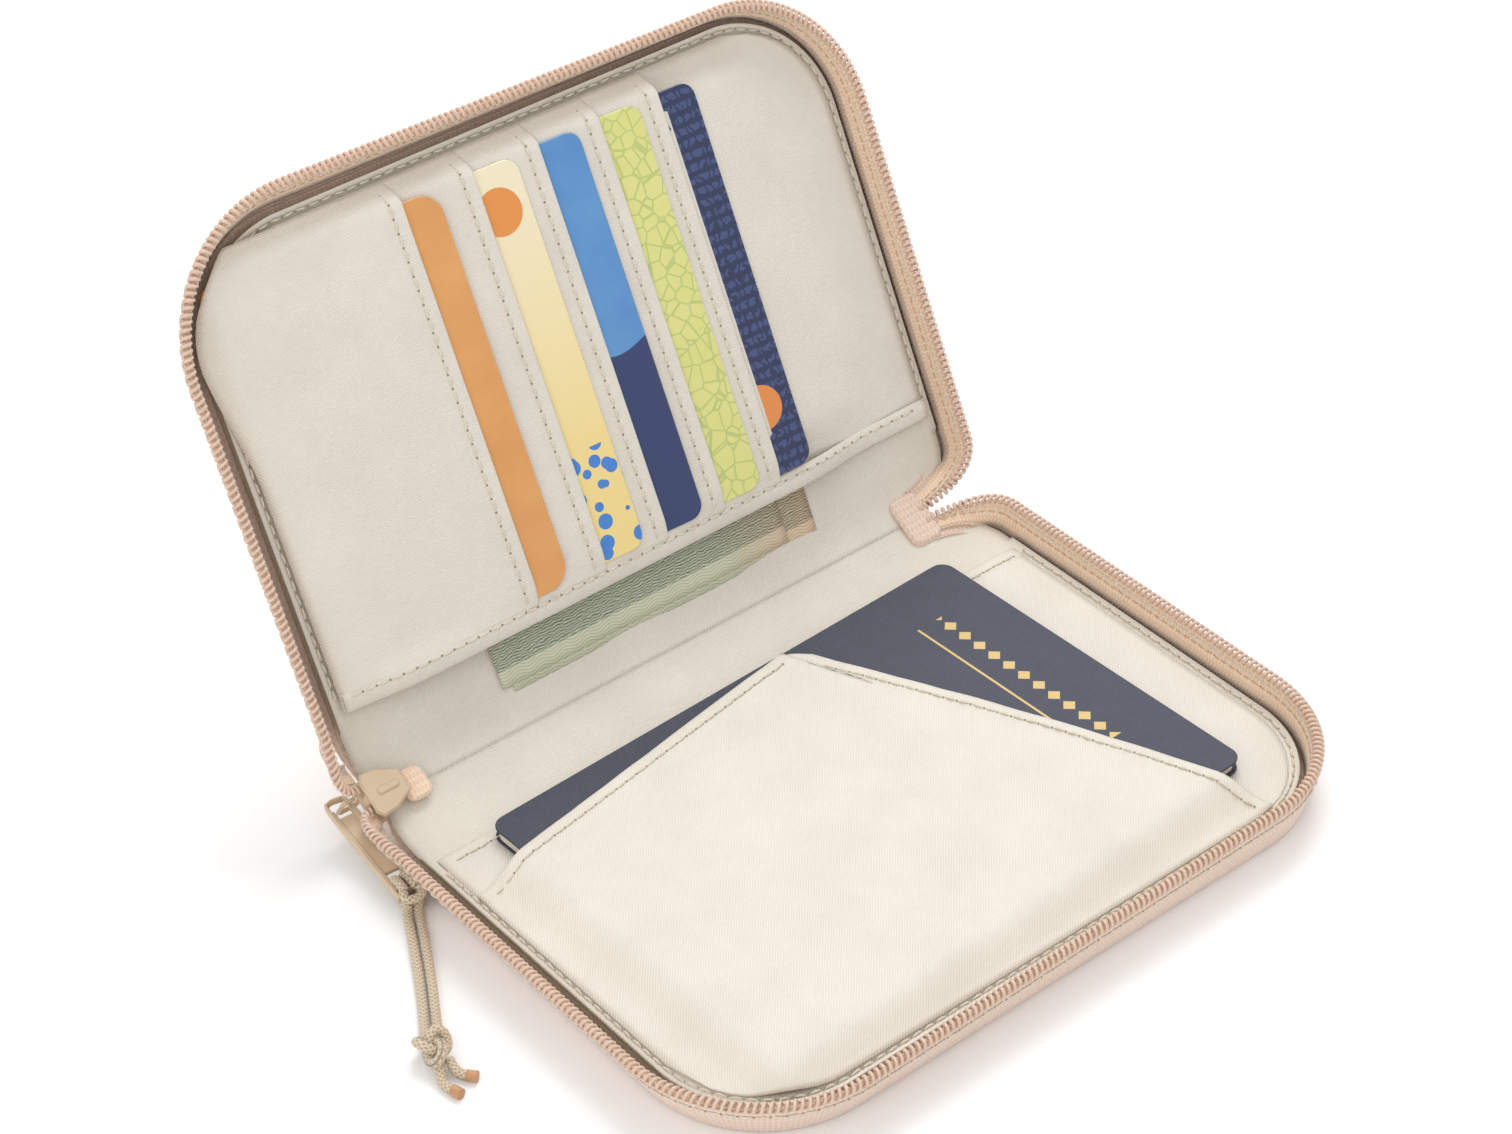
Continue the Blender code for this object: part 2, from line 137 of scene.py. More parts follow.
def edge_distance(x, depth):
    """How far inside the leaf's outer edge a place is."""
    radius = CORNER_RADIUS
    side = HALF_WIDTH - abs(x)
    front = DEPTH - depth
    if side < radius and front < radius:
        return radius - math.hypot(radius - side, radius - front)
    return min(side, front)


def far_depth(x, inset):
    """The depth of the leaf's outline at this x."""
    radius = CORNER_RADIUS - inset
    over = abs(x) - (HALF_WIDTH - inset - radius)
    if over <= 0:
        return DEPTH - inset
    return DEPTH - inset - radius + math.sqrt(max(radius * radius - over * over, 0.0))


# ---------------------------------------------------------------- materials
def new_material(name, roughness=0.7, metallic=0.0, sheen=0.0, coat=0.0):
    made = bpy.data.materials.new(name)
    made.use_nodes = True
    shader = made.node_tree.nodes["Principled BSDF"]
    shader.inputs["Roughness"].default_value = roughness
    shader.inputs["Metallic"].default_value = metallic
    shader.inputs["Sheen Weight"].default_value = sheen
    shader.inputs["Coat Weight"].default_value = coat
    return made


class Nodes:
    """A short way to write a material's nodes."""

    def __init__(self, made):
        self.tree = made.node_tree
        self.shader = self.tree.nodes["Principled BSDF"]

    def add(self, kind, inputs=(), **settings):
        node = self.tree.nodes.new(kind)
        for key, value in settings.items():
            setattr(node, key, value)
        for key, value in dict(inputs).items():
            socket = node.inputs[key]
            if isinstance(value, bpy.types.NodeSocket):
                self.tree.links.new(value, socket)
            else:
                socket.default_value = value
        return node

    def math(self, operation, *values):
        return self.add("ShaderNodeMath", dict(enumerate(values)), operation=operation).outputs[0]

    def mix(self, share, first, second):
        node = self.add("ShaderNodeMix", data_type="RGBA")
        for key, value in ((0, share), (6, first), (7, second)):
            if isinstance(value, bpy.types.NodeSocket):
                self.tree.links.new(value, node.inputs[key])
            else:
                node.inputs[key].default_value = value
        return node.outputs[2]

    def noise(self, vector, scale, detail=3.0):
        settings = {"Vector": vector, "Scale": scale, "Detail": detail}
        return self.add("ShaderNodeTexNoise", settings).outputs["Fac"]

    def uv(self):
        """Millimetres over the cloth, as (u, v, vector)."""
        vector = self.add("ShaderNodeTexCoord").outputs["UV"]
        parts = self.add("ShaderNodeSeparateXYZ", {0: vector})
        return parts.outputs[0], parts.outputs[1], vector

    def wave(self, value, pitch):
        """A sine from 0 to 1 with this pitch."""
        turned = self.math("MULTIPLY", value, 2 * math.pi / pitch)
        return self.math("MULTIPLY_ADD", self.math("SINE", turned), 0.5, 0.5)

    def ramp(self, value, low, high):
        node = self.add("ShaderNodeMapRange", {"Value": value, "From Min": low, "From Max": high})
        return node.outputs[0]

    def bump(self, height, strength, distance):
        node = self.add("ShaderNodeBump", {"Height": height, "Strength": strength, "Distance": distance})
        self.tree.links.new(node.outputs[0], self.shader.inputs["Normal"])

    def colour(self, value):
        self.set("Base Color", value)

    def set(self, name, value):
        self.tree.links.new(value, self.shader.inputs[name])


def rgb(red, green, blue):
    """A colour from its screen values, 0 to 255."""
    def linear(value):
        value /= 255
        return value / 12.92 if value <= 0.04045 else ((value + 0.055) / 1.055) ** 2.4

    return (linear(red), linear(green), linear(blue), 1.0)


def twill_material(name, base, shade, pitch=0.75):
    """Fine twill: diagonal ribs over a weave of threads, with soft dirtier patches."""
    made = new_material(name, roughness=0.62, sheen=0.25)
    n = Nodes(made)
    u, v, vector = n.uv()
    wobble = n.math("MULTIPLY", n.noise(vector, 0.25), 0.5)
    across = n.math("ADD", n.math("ADD", u, n.math("MULTIPLY", v, 0.9)), wobble)
    ribs = n.wave(across, pitch)
    threads = n.math("MULTIPLY", n.wave(u, pitch * 0.55), n.wave(v, pitch * 0.5))
    weave = n.math("MULTIPLY_ADD", threads, 0.35, n.math("MULTIPLY", ribs, 0.65))
    patches = n.ramp(n.noise(vector, 0.06, 4.0), 0.35, 0.7)
    stretched = n.add("ShaderNodeMapping", {"Vector": vector, "Scale": (0.3, 2.5, 1.0)}).outputs[0]
    slubs = n.ramp(n.noise(stretched, 1.0), 0.3, 0.7)
    marks_on_cloth = n.math("MULTIPLY_ADD", patches, 0.25, n.math("MULTIPLY", slubs, 0.2))
    tone = n.math("MULTIPLY_ADD", weave, 0.55, marks_on_cloth)
    n.colour(n.mix(tone, shade, base))
    n.bump(weave, 0.55, 0.00012)
    return made


def tape_material(name, base, shade, rib=0.95):
    """Zip tape: ribs across the tape, with a knitted look along it. U runs along the tape."""
    made = new_material(name, roughness=0.75, sheen=0.3)
    n = Nodes(made)
    u, v, vector = n.uv()
    zigzag = n.math("MULTIPLY", n.math("PINGPONG", v, 0.8), 0.55)
    ribs = n.wave(n.math("ADD", u, zigzag), rib)
    rows = n.wave(v, 1.6)
    weave = n.math("MULTIPLY_ADD", ribs, 0.65, n.math("MULTIPLY", rows, 0.35))
    patches = n.noise(vector, 0.12, 4.0)
    n.colour(n.mix(n.math("MULTIPLY_ADD", weave, 0.75, n.math("MULTIPLY", patches, 0.25)), shade, base))
    n.bump(weave, 0.8, 0.0002)
    return made


def braid_material():
    """Round braid: two crossing sets of strands. U runs round the cord and V along it."""
    made = new_material("pull_cord_braid", roughness=0.7, sheen=0.3)
    n = Nodes(made)
    u, v, vector = n.uv()
    first = n.wave(n.math("ADD", u, v), 1.05)
    second = n.wave(n.math("SUBTRACT", u, v), 1.05)
    braid = n.math("MAXIMUM", first, second)
    tone = n.math("MULTIPLY_ADD", braid, 0.7, n.math("MULTIPLY", n.noise(vector, 1.2), 0.3))
    n.colour(n.mix(tone, rgb(168, 140, 106), rgb(226, 210, 184)))
    n.bump(braid, 0.9, 0.00025)
    return made


def enamel_material():
    made = new_material("slider_enamel_paint", roughness=0.45, coat=0.15)
    n = Nodes(made)
    vector = n.add("ShaderNodeTexCoord").outputs["Object"]
    grain = n.noise(vector, 2500.0, 2.0)
    cloud = n.noise(vector, 180.0, 3.0)
    n.colour(n.mix(cloud, rgb(198, 174, 144), rgb(212, 190, 160)))
    n.set("Roughness", n.ramp(cloud, -0.6, 2.0))
    n.bump(grain, 0.25, 0.00003)
    return made


def coil_material():
    made = new_material("zip_coil_nylon", roughness=0.38)
    n = Nodes(made)
    vector = n.add("ShaderNodeTexCoord").outputs["Object"]
    cloud = n.noise(vector, 900.0, 2.0)
    n.colour(n.mix(cloud, rgb(206, 172, 150), rgb(232, 208, 190)))
    n.bump(cloud, 0.2, 0.00005)
    return made


def thread_material(name, light, dark):
    made = new_material(name, roughness=0.6, sheen=0.3)
    n = Nodes(made)
    u, v, vector = n.uv()
    twist = n.wave(n.math("ADD", u, v), 0.45)
    n.colour(n.mix(twist, dark, light))
    n.bump(twist, 0.6, 0.00008)
    return made


def plain_material(name, light, dark, roughness, scale=1500.0, strength=0.2):
    made = new_material(name, roughness=roughness)
    n = Nodes(made)
    vector = n.add("ShaderNodeTexCoord").outputs["Object"]
    grain = n.noise(vector, scale, 4.0)
    n.colour(n.mix(grain, dark, light))
    n.bump(grain, strength, 0.00005)
    return made


LINING = twill_material("lining_twill", rgb(234, 228, 216), rgb(208, 200, 186))
POCKET = twill_material("pocket_twill", rgb(236, 230, 219), rgb(210, 203, 190), pitch=0.7)
SHELL = tape_material("shell_weave", rgb(240, 218, 202), rgb(214, 184, 164), rib=1.1)
TAPE = tape_material("zip_tape_weave", rgb(250, 228, 206), rgb(232, 194, 160))
COIL = coil_material()
THREAD = thread_material("stitching_thread", rgb(238, 230, 212), rgb(212, 200, 176))
ORANGE_THREAD = thread_material("zip_thread", rgb(236, 202, 170), rgb(206, 152, 108))
# Flat dark discs at the stitches' needle hole places: painted shade standing in for the shade inside each hole.
HOLE_SHADE = plain_material("needle_hole_painted_shade", rgb(168, 154, 132), rgb(140, 124, 102), 0.9)
BRAID = braid_material()
ENAMEL = enamel_material()
MELTED = plain_material("cord_ends_melted", rgb(214, 166, 122), rgb(172, 118, 76), 0.35, 900.0, 0.5)


# ---------------------------------------------------------------- mesh helpers
def mesh_object(name, points, faces, uvs, material):
    """A smooth mesh from points in millimetres, with one (u, v) for each point."""
    mesh = bpy.data.meshes.new(name)
    mesh.from_pydata([tuple(np.asarray(point) * MM) for point in points], [], faces)
    layer = mesh.uv_layers.new(name="UVMap")
    order = np.empty(len(mesh.loops), np.int32)
    mesh.loops.foreach_get("vertex_index", order)
    layer.data.foreach_set("uv", np.asarray(uvs, np.float32)[order].ravel())
    mesh.polygons.foreach_set("use_smooth", [True] * len(mesh.polygons))
    mesh.materials.append(material)
    mesh.update()
    made = bpy.data.objects.new(name, mesh)
    bpy.context.scene.collection.objects.link(made)
    return made


def grid_faces(rows, columns, wrap=False):
    faces = []
    for row in range(rows - 1):
        for column in range(columns if wrap else columns - 1):
            after = (column + 1) % columns
            first = row * columns
            faces.append((first + column, first + after, first + columns + after, first + columns + column))
    return faces


def grid_object(name, rows, uv_rows, material, thickness=CLOTH, offset=-1.0):
    """A sheet from rows of points, thickened away from the side that its faces look to."""
    points = [point for row in rows for point in row]
    uvs = [uv for row in uv_rows for uv in row]
    made = mesh_object(name, points, grid_faces(len(rows), len(rows[0])), uvs, material)
    if thickness:
        solid = made.modifiers.new("thickness", "SOLIDIFY")
        solid.thickness = thickness * MM
        solid.offset = offset
    return made


def sweep(name, path, section, ups, material, closed_ends=True, uv_scale=(1.0, 1.0)):
    """A section of (side, up) offsets carried along a path, with one up direction for each point."""
    path = np.array(path, float)
    count = len(section)
    points, uvs = [], []
    run = 0.0
    lengths = np.cumsum([0.0] + [math.dist(a, b) for a, b in zip(section, section[1:])])
    for index, place in enumerate(path):
        before, after = path[max(index - 1, 0)], path[min(index + 1, len(path) - 1)]
        tangent = (after - before) / np.linalg.norm(after - before)
        if index:
            run += float(np.linalg.norm(place - path[index - 1]))
        up = np.asarray(ups[index], float)
        side = np.cross(tangent, up)
        side /= np.linalg.norm(side)
        lift = np.cross(side, tangent)
        for corner, (across, high) in enumerate(section):
            points.append(place + side * across + lift * high)
            uvs.append((lengths[corner] * uv_scale[0], run * uv_scale[1]))
    faces = grid_faces(len(path), count, wrap=True)
    if closed_ends:
        faces.append(tuple(range(count))[::-1])
        faces.append(tuple(range((len(path) - 1) * count, len(path) * count)))
    made = mesh_object(name, points, faces, uvs, material)
    return made


def circle(radius, steps=10, flat=1.0):
    turns = [2 * math.pi * step / steps for step in range(steps)]
    return [(radius * math.cos(turn), radius * flat * math.sin(turn)) for turn in turns]


def round_path(points, step):
    """A smooth path through the points, with places this far apart."""
    points = [np.array(point, float) for point in points]
    dense = []
    for index in range(len(points) - 1):
        a = points[max(index - 1, 0)]
        b, c = points[index], points[index + 1]
        d = points[min(index + 2, len(points) - 1)]
        for part in range(24):
            t = part / 24
            dense.append(0.5 * (2 * b + (c - a) * t + (2 * a - 5 * b + 4 * c - d) * t * t
                                + (3 * b - a - 3 * c + d) * t ** 3))
    dense.append(points[-1])
    return even(dense, step)


def even(points, step):
    """The same path with its places evenly spread."""
    points = np.array(points, float)
    run = np.concatenate([[0.0], np.cumsum(np.linalg.norm(np.diff(points, axis=0), axis=1))])
    count = max(int(round(run[-1] / step)), 2)
    marks = np.linspace(0.0, run[-1], count + 1)
    return np.stack([np.interp(marks, run, points[:, axis]) for axis in range(points.shape[1])], axis=1)


def stitch_line(name, path, normals, body=None, pitch=STITCH_PITCH, length=2.3, radius=0.24, shade_discs=True,
                material=None):
    """Thread stitches along a path on cloth, each one a small bead that dives in at a needle hole, with an optional
    flat dark disc of painted shade over each hole.
    """
    path = np.array(path, float)
    run = np.concatenate([[0.0], np.cumsum(np.linalg.norm(np.diff(path, axis=0), axis=1))])
    count = int(run[-1] / pitch)
    points, faces, uvs, shade_disc_faces = [], [], [], []
    rings = ((-1.0, 0.15, -0.3), (-0.72, 0.8, 0.35), (0.0, 1.0, 0.8), (0.72, 0.8, 0.35), (1.0, 0.15, -0.3))
    normals = np.array(normals, float)
    for index in range(count):
        mark = (index + 0.5) * pitch

        def at(value, table):
            return np.array([np.interp(value, run, table[:, axis]) for axis in range(3)])

        place, normal = at(mark, path), at(mark, normals)
        tangent = at(min(mark + 0.4, run[-1]), path) - at(mark - 0.4, path)
        tangent /= np.linalg.norm(tangent)
        normal /= np.linalg.norm(normal)
        side = np.cross(tangent, normal)
        start = len(points)
        swing = 0.12 * math.sin(index * 2.4)
        for along, size, lift in rings:
            middle = place + tangent * along * length / 2 + normal * radius * lift + side * swing * along
            for step in range(6):
                turn = math.pi * step / 3
                points.append(middle + (side * math.cos(turn) + normal * math.sin(turn)) * radius * size)
                uvs.append((step / 6, along * length))
        for ring in range(4):
            for step in range(6):
                after = (step + 1) % 6
                first = start + ring * 6
                faces.append((first + step, first + after, first + 6 + after, first + 6 + step))
        faces.append(tuple(start + step for step in range(6))[::-1])
        faces.append(tuple(start + 24 + step for step in range(6)))
        # A flat dark disc just over the cloth at each needle hole: painted shade, not a real hole.
        if shade_discs:
            middle = place + tangent * pitch / 2 + normal * 0.03
            first = len(points)
            for step in range(6):
                turn = math.pi * step / 3
                points.append(middle + (tangent * math.cos(turn) + side * math.sin(turn)) * 0.3)
                uvs.append((0.0, 0.0))
            shade_disc_faces.append(len(faces))
            faces.append(tuple(first + step for step in range(6))[::-1])
    made = mesh_object(name, points, faces, uvs, material or THREAD)
    if shade_discs:
        made.data.materials.append(HOLE_SHADE)
        for index in shade_disc_faces:
            made.data.polygons[index].material_index = 1
    if body:
        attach(made, body)
    return made


def joined(name, parts):
    """Several meshes made one, keeping their materials."""
    for part in parts:
        for modifier in list(part.modifiers):
            with bpy.context.temp_override(object=part, active_object=part):
                bpy.ops.object.modifier_apply(modifier=modifier.name)
    with bpy.context.temp_override(active_object=parts[0], object=parts[0], selected_objects=parts,
                                   selected_editable_objects=parts):
        bpy.ops.object.join()
    parts[0].name = name
    return parts[0]


def bake(made):
    """Applies a mesh's modifiers, so that it is final."""
    graph = bpy.context.evaluated_depsgraph_get()
    mesh = bpy.data.meshes.new_from_object(made.evaluated_get(graph))
    made.modifiers.clear()
    made.data = mesh
    return made


def belongs(made, body, slot, *nodes):
    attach(made, body)
    if nodes:
        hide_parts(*nodes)
    return made


def bends(made, leaf, slot, *nodes):
    """A piece that runs from a leaf to the spine, made final: its modifiers and place are applied, and the frame parts
    it replaces are hidden.
    """
    bake(made)
    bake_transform(made)
    if nodes:
        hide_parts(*nodes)
    return made


def marks(total, step, fine=(0.0, 0.3, 0.8, 1.8, 3.0, 3.5, 3.9, 4.6)):
    """Places from an edge inward, close together over its hem."""
    rest = list(np.linspace(fine[-1], total, max(int((total - fine[-1]) / step), 2))[1:])
    return list(fine) + rest


def hem_lift(distance):
    return 0.35 * (1 - smooth(3.1, 3.7, distance)) - 0.35 * (1 - smooth(0.0, 0.7, distance))


def offset_ring(outline, inset):
    """The outline moved inward."""
    outline = np.array(outline, float)
    before, after = np.roll(outline, 1, axis=0), np.roll(outline, -1, axis=0)
    edge = after - before
    inward = np.stack([-edge[:, 1], edge[:, 0]], axis=1)
    inward /= np.linalg.norm(inward, axis=1)[:, None]
    return outline + inward * inset


def plate(name, outline, low, high, place, material, edge=0.15):
    """A flat piece with softened edges. The outline runs anticlockwise seen from above."""
    rings = ((edge, low), (0.0, low + edge), (0.0, high - edge), (edge, high))
    points, uvs = [], []
    count = len(outline)
    for inset, height in rings:
        for a, b in offset_ring(outline, inset):
            points.append(place(a, b, height))
            uvs.append((a, b if height > (low + high) / 2 else b + height))
    faces = grid_faces(4, count, wrap=True)
    faces.append(tuple(range(count))[::-1])
    faces.append(tuple(range(3 * count, 4 * count)))
    made = mesh_object(name, points, faces, uvs, material)
    made.data.set_sharp_from_angle(angle=math.radians(40))
    return made


def rounded_box(width, length, radius, steps=6):
    """A rounded rectangle about its middle, anticlockwise."""
    outline = []
    for turn, (side, end) in enumerate(((1, 1), (-1, 1), (-1, -1), (1, -1))):
        for step in range(steps + 1):
            angle = math.pi / 2 * (turn + step / steps)
            middle = (side * (width / 2 - radius), end * (length / 2 - radius))
            outline.append((middle[0] + radius * math.cos(angle), middle[1] + radius * math.sin(angle)))
    return outline


def bezier(first, first_handle, last_handle, last, count):
    shares = np.linspace(0, 1, count)[:, None]
    rest = 1 - shares
    return (rest ** 3 * first + 3 * rest ** 2 * shares * first_handle + 3 * rest * shares ** 2 * last_handle
            + shares ** 3 * last)


def unit(vector):
    return np.asarray(vector, float) / np.linalg.norm(vector)


SPINE_ALONG = unit(spine_point(0, 1, 0) - spine_point(0, 0, 0))
SPINE_UP = unit(spine_point(0, 0, 1) - spine_point(0, 0, 0))


# ---------------------------------------------------------------- the leaves' skins
def skin(leaf, name, height, middle_height, inset, material, rise, ripple, nodes):
    """A leaf's outer or inner cloth, from its front edge to the middle of the spine."""
    up = leaf_point(leaf, 0, 0, 1) - leaf_point(leaf, 0, 0, 0)
    away = leaf_point(leaf, 0, 1, 0) - leaf_point(leaf, 0, 0, 0)
    toward = SPINE_ALONG if leaf == "lower" else -SPINE_ALONG
    start = leaf_point(leaf, 0, FOLD_END, height)
    end = spine_point(0, SPINE_WIDTH / 2, middle_height)
    fold = bezier(start, start - away * 5.5, end - toward * 5.5, end, 15)
    edge_radius = CORNER_RADIUS - inset
    rows, uvs = [], []
    corner_turns = np.linspace(0.06, math.pi / 2, 22)
    depths = [DEPTH - inset - edge_radius * (1 - math.cos(turn)) for turn in corner_turns]
    depths += list(np.linspace(depths[-1], FOLD_END, 40))[1:]
    run = 0.0
    for index, depth in enumerate(depths + list(range(14))):
        on_leaf = index < len(depths)
        if on_leaf:
            over = max(depth - (DEPTH - CORNER_RADIUS), 0.0)
            half = HALF_WIDTH - CORNER_RADIUS + math.sqrt(max(edge_radius ** 2 - over ** 2, 0.0))
            left = right = half
            run = DEPTH - depth
        else:
            share = (index - len(depths) + 1) / 14
            side = HALF_WIDTH - inset
            left = side - (side - LEFT_FOLD) * share ** 2
            right = side - (side - SPINE_HALF - 1.0) * share ** 3
            run = DEPTH - FOLD_END + share * 16.0
        row, uv = [], []
        for x in np.linspace(-left, right, 81):
            if on_leaf:
                inside = edge_distance(x, depth) - inset
                lift = rise * (1 - smooth(0.0, 2.4, inside))
                wave = ripple * rough(x, depth, 16.0, 3.0) * smooth(1.0, 12.0, inside)
                row.append(leaf_point(leaf, x, depth, height + lift + wave))
            else:
                base = fold[index - len(depths) + 1]
                wave = ripple * 1.3 * math.sin(share * 7.5) * (0.6 + 0.4 * rough(x, share * 8, 22.0, 5.0))
                wave *= 1 - share ** 4
                row.append(np.array([x, base[1], base[2]]) + SPINE_UP * wave)
            uv.append((x, run))
        rows.append(row)
        uvs.append(uv)
    made = grid_object(name, rows, uvs, material, 0.4 if rise > 0 and height > 1 else 0.7, offset=0.0)
    slot = "lining_cloth" if height > 1 else "shell_cloth"
    return bends(made, leaf, slot, *nodes)


for leaf in ("lower", "upper"):
    skin(leaf, leaf + "_inner_skin", LINING_HEIGHT + 0.1, 1.6, LINING_INSET, LINING, 0.9, 0.22,
         [leaf + "_lining"] + (["spine_lining"] if leaf == "lower" else []))
    skin(leaf, leaf + "_outer_skin", 0.35, 0.3, 0.9, SHELL, 1.0, 0.02,
         [leaf + "_shell"] + (["spine_shell"] if leaf == "lower" else []))


# ---------------------------------------------------------------- the walls, zip tape and coil
def wall_stations(leaf):
    """Places round a leaf's edge: the foot, the outward and upward directions, and how tall the wall is."""
    turned = [leaf_point(leaf, 1, 0, 0), leaf_point(leaf, 0, 1, 0), leaf_point(leaf, 0, 0, 1)]
    base = leaf_point(leaf, 0, 0, 0)
    x_way, d_way, up = (point - base for point in turned)
    radius = CORNER_RADIUS
    stations = []

    def put(x, depth, out_x, out_d):
        lean = LEAN_MIDDLE - LEAN_SLOPE * x / HALF_WIDTH
        stations.append((leaf_point(leaf, x, depth, 0), x_way * out_x + d_way * out_d, up, 1.0, lean))

    for depth in np.linspace(24.0, DEPTH - radius, 40, endpoint=False):
        put(-HALF_WIDTH, depth, -1.0, 0.0)
    for angle in np.linspace(0, math.pi / 2, 24, endpoint=False):
        across, out = math.cos(angle), math.sin(angle)
        put(-(HALF_WIDTH - radius) - radius * across, DEPTH - radius + radius * out, -across, out)
    for x in np.linspace(-(HALF_WIDTH - radius), HALF_WIDTH - radius, 50, endpoint=False):
        put(x, DEPTH, 0.0, 1.0)
    for angle in np.linspace(math.pi / 2, 0, 24, endpoint=False):
        across, out = math.cos(angle), math.sin(angle)
        put(HALF_WIDTH - radius + radius * across, DEPTH - radius + radius * out, across, out)
    for depth in np.linspace(DEPTH - radius, 17.5, 42):
        put(HALF_WIDTH, depth, 1.0, 0.0)

    def tail(station, target, target_way, tall, count, reach):
        foot, out, rise, full, lean = station
        coil = foot + rise * 11.2 + out * lean
        handle = coil - d_way * reach
        curve = bezier(coil, handle, target - target_way * reach * 0.8, target, count)
        end_rise = SPINE_ALONG if leaf == "lower" else -SPINE_ALONG
        found = []
        for index, place in enumerate(curve[1:]):
            share = smooth(0, 1, (index + 1) / (count - 1))
            new_rise = unit(rise * (1 - share) + end_rise * share)
            new_out = out * (1 - share) - SPINE_UP * share
            new_out = unit(new_out - new_rise * np.dot(new_out, new_rise))
            height = full * (1 - share) + tall * share
            foot = place - new_rise * 11.2 * height - new_out * lean * (1 - share)
            found.append((foot, new_out, new_rise, height, lean * (1 - share)))
        return found

    lower = leaf == "lower"
    left = spine_point(-81.0, 11.0 if lower else 16.0, 3.65)
    right = spine_point(SPINE_HALF, 10.6 if lower else 13.6, 2.6)
    left_tail = tail(stations[0], left, np.array([1.0, 0, 0]), 0.55, 16, 7.0)
    right_tail = tail(stations[-1], right, np.array([-1.0, 0, 0]), 0.45, 18, 8.0)
    return left_tail[::-1] + stations + right_tail


def wall_point(station, outset, height):
    foot, out, rise, tall, lean = station
    shift = lean * max(height - 1.1, 0.0) / 11.1
    return foot + out * (outset * tall + shift) + rise * height * tall


def wall_piece(name, stations, section, material, leaf, slot, *nodes):
    points, uvs = [], []
    run = 0.0
    previous = None
    for station in stations:
        middle = wall_point(station, 0.0, 8.0)
        if previous is not None:
            run += float(np.linalg.norm(middle - previous))
        previous = middle
        for outset, height in section:
            points.append(wall_point(station, outset, height))
            uvs.append((run, height + outset))
    count = len(section)
    faces = grid_faces(len(stations), count, wrap=True)
    faces.append(tuple(range(count))[::-1])
    faces.append(tuple(range((len(stations) - 1) * count, len(stations) * count)))
    made = mesh_object(name, points, faces, uvs, material)
    return bends(made, leaf, slot, *nodes)


BAND_SECTION = ((-1.6, 0.7), (-0.9, 0.1), (-0.2, 0.1), (0.4, 0.7), (0.6, 1.8), (0.7, 5.0), (0.6, 9.4), (0.3, 9.8),
                (-0.1, 9.7), (-0.3, 9.0), (-0.3, 1.4), (-0.9, 1.0))
TAPE_SECTION = ((-0.35, 4.2), (-0.3, 9.6), (0.0, 10.2), (0.0, 10.7), (-0.5, 10.9), (-0.9, 10.5), (-1.0, 9.8),
                (-1.1, 7.0), (-1.2, 4.2))


def coil(leaf, stations):
    """The zip's coil: one long spiral of nylon wire along the tape's edge."""
    middle = np.array([wall_point(station, -0.4, 11.2) for station in stations])
    outs = np.array([station[1] for station in stations])
    rises = np.array([station[2] for station in stations])
    run = np.concatenate([[0.0], np.cumsum(np.linalg.norm(np.diff(middle, axis=0), axis=1))])
    steps = int(run[-1] / COIL_PITCH) * 9

    def along(table, mark):
        return np.array([np.interp(mark, run, table[:, axis]) for axis in range(3)])

    path, ups = [], []
    for step in range(steps):
        mark = run[-1] * step / steps
        turn = 2 * math.pi * step / 9
        out, rise = unit(along(outs, mark)), unit(along(rises, mark))
        reach = out * math.cos(turn) * 0.95 + rise * math.sin(turn) * 0.75
        path.append(along(middle, mark) + reach)
        ups.append(unit(reach))
    wire = sweep(leaf + "_zip_spiral", path, circle(COIL_WIRE, 5), ups, COIL)
    return bends(wire, leaf, "zip_coil", leaf + "_zip_coil")


for leaf in ("lower", "upper"):
    stations = wall_stations(leaf)
    wall_piece(leaf + "_side_band", stations, BAND_SECTION, SHELL, leaf, "shell_cloth", leaf + "_edge_band")
    wall_piece(leaf + "_tape", stations, TAPE_SECTION, TAPE, leaf, "zip_tape", leaf + "_zip_tape")
    coil(leaf, stations)
    rows = (("zip_chain_stitch", -1.05, 9.5, 1.7, 1.5, THREAD, 0.26), ("zip_orange_stitch", -1.12, 8.3, 2.2, 1.9,
            ORANGE_THREAD, 0.16), ("band_stitch", 0.72, 8.6, 3.0, 2.3, THREAD, 0.24))
    for name, outset, height, pitch, length, thread, radius in rows:
        line = [wall_point(station, outset, height) for station in stations]
        side = 1 if outset > 0 else -1
        made = stitch_line(leaf + "_" + name, line, [station[1] * side for station in stations], pitch=pitch,
                           length=length, radius=radius, shade_discs=outset > 0, material=thread)
        bends(made, leaf, "zip_tape")


def on_leaf_line(leaf, places, height_of, lift=0.25):
    return [leaf_point(leaf, x, depth, height_of(x, depth) + lift) for x, depth in places]


def panel_stitch(name, leaf, places, height_of, lift=0.25, pitch=STITCH_PITCH):
    up = leaf_point(leaf, 0, 0, 1) - leaf_point(leaf, 0, 0, 0)
    line = on_leaf_line(leaf, places, height_of, lift)
    return stitch_line(name, line, [up] * len(line), leaf + "_leaf", pitch=pitch)


# The seam round each lining, inside the zip tape.
def seam_places(inset, first, last):
    radius = CORNER_RADIUS - inset
    side, front = HALF_WIDTH - inset, DEPTH - CORNER_RADIUS
    places = [(-side, depth) for depth in np.linspace(first, front, 20)]
    for angle in np.linspace(0, math.pi / 2, 14)[1:]:
        places.append((-(HALF_WIDTH - CORNER_RADIUS) - radius * math.cos(angle), front + radius * math.sin(angle)))
    for angle in np.linspace(math.pi / 2, 0, 14):
        places.append((HALF_WIDTH - CORNER_RADIUS + radius * math.cos(angle), front + radius * math.sin(angle)))
    places += [(side, depth) for depth in np.linspace(front, last, 20)[1:]]
    return places


# ---------------------------------------------------------------- lower leaf: slip pocket and passport pocket
PASSPORT_SIZE = (125.0, 88.0)
PASSPORT_TURN = math.radians(2)
PASSPORT_CORNER = (59.8, 19.5)


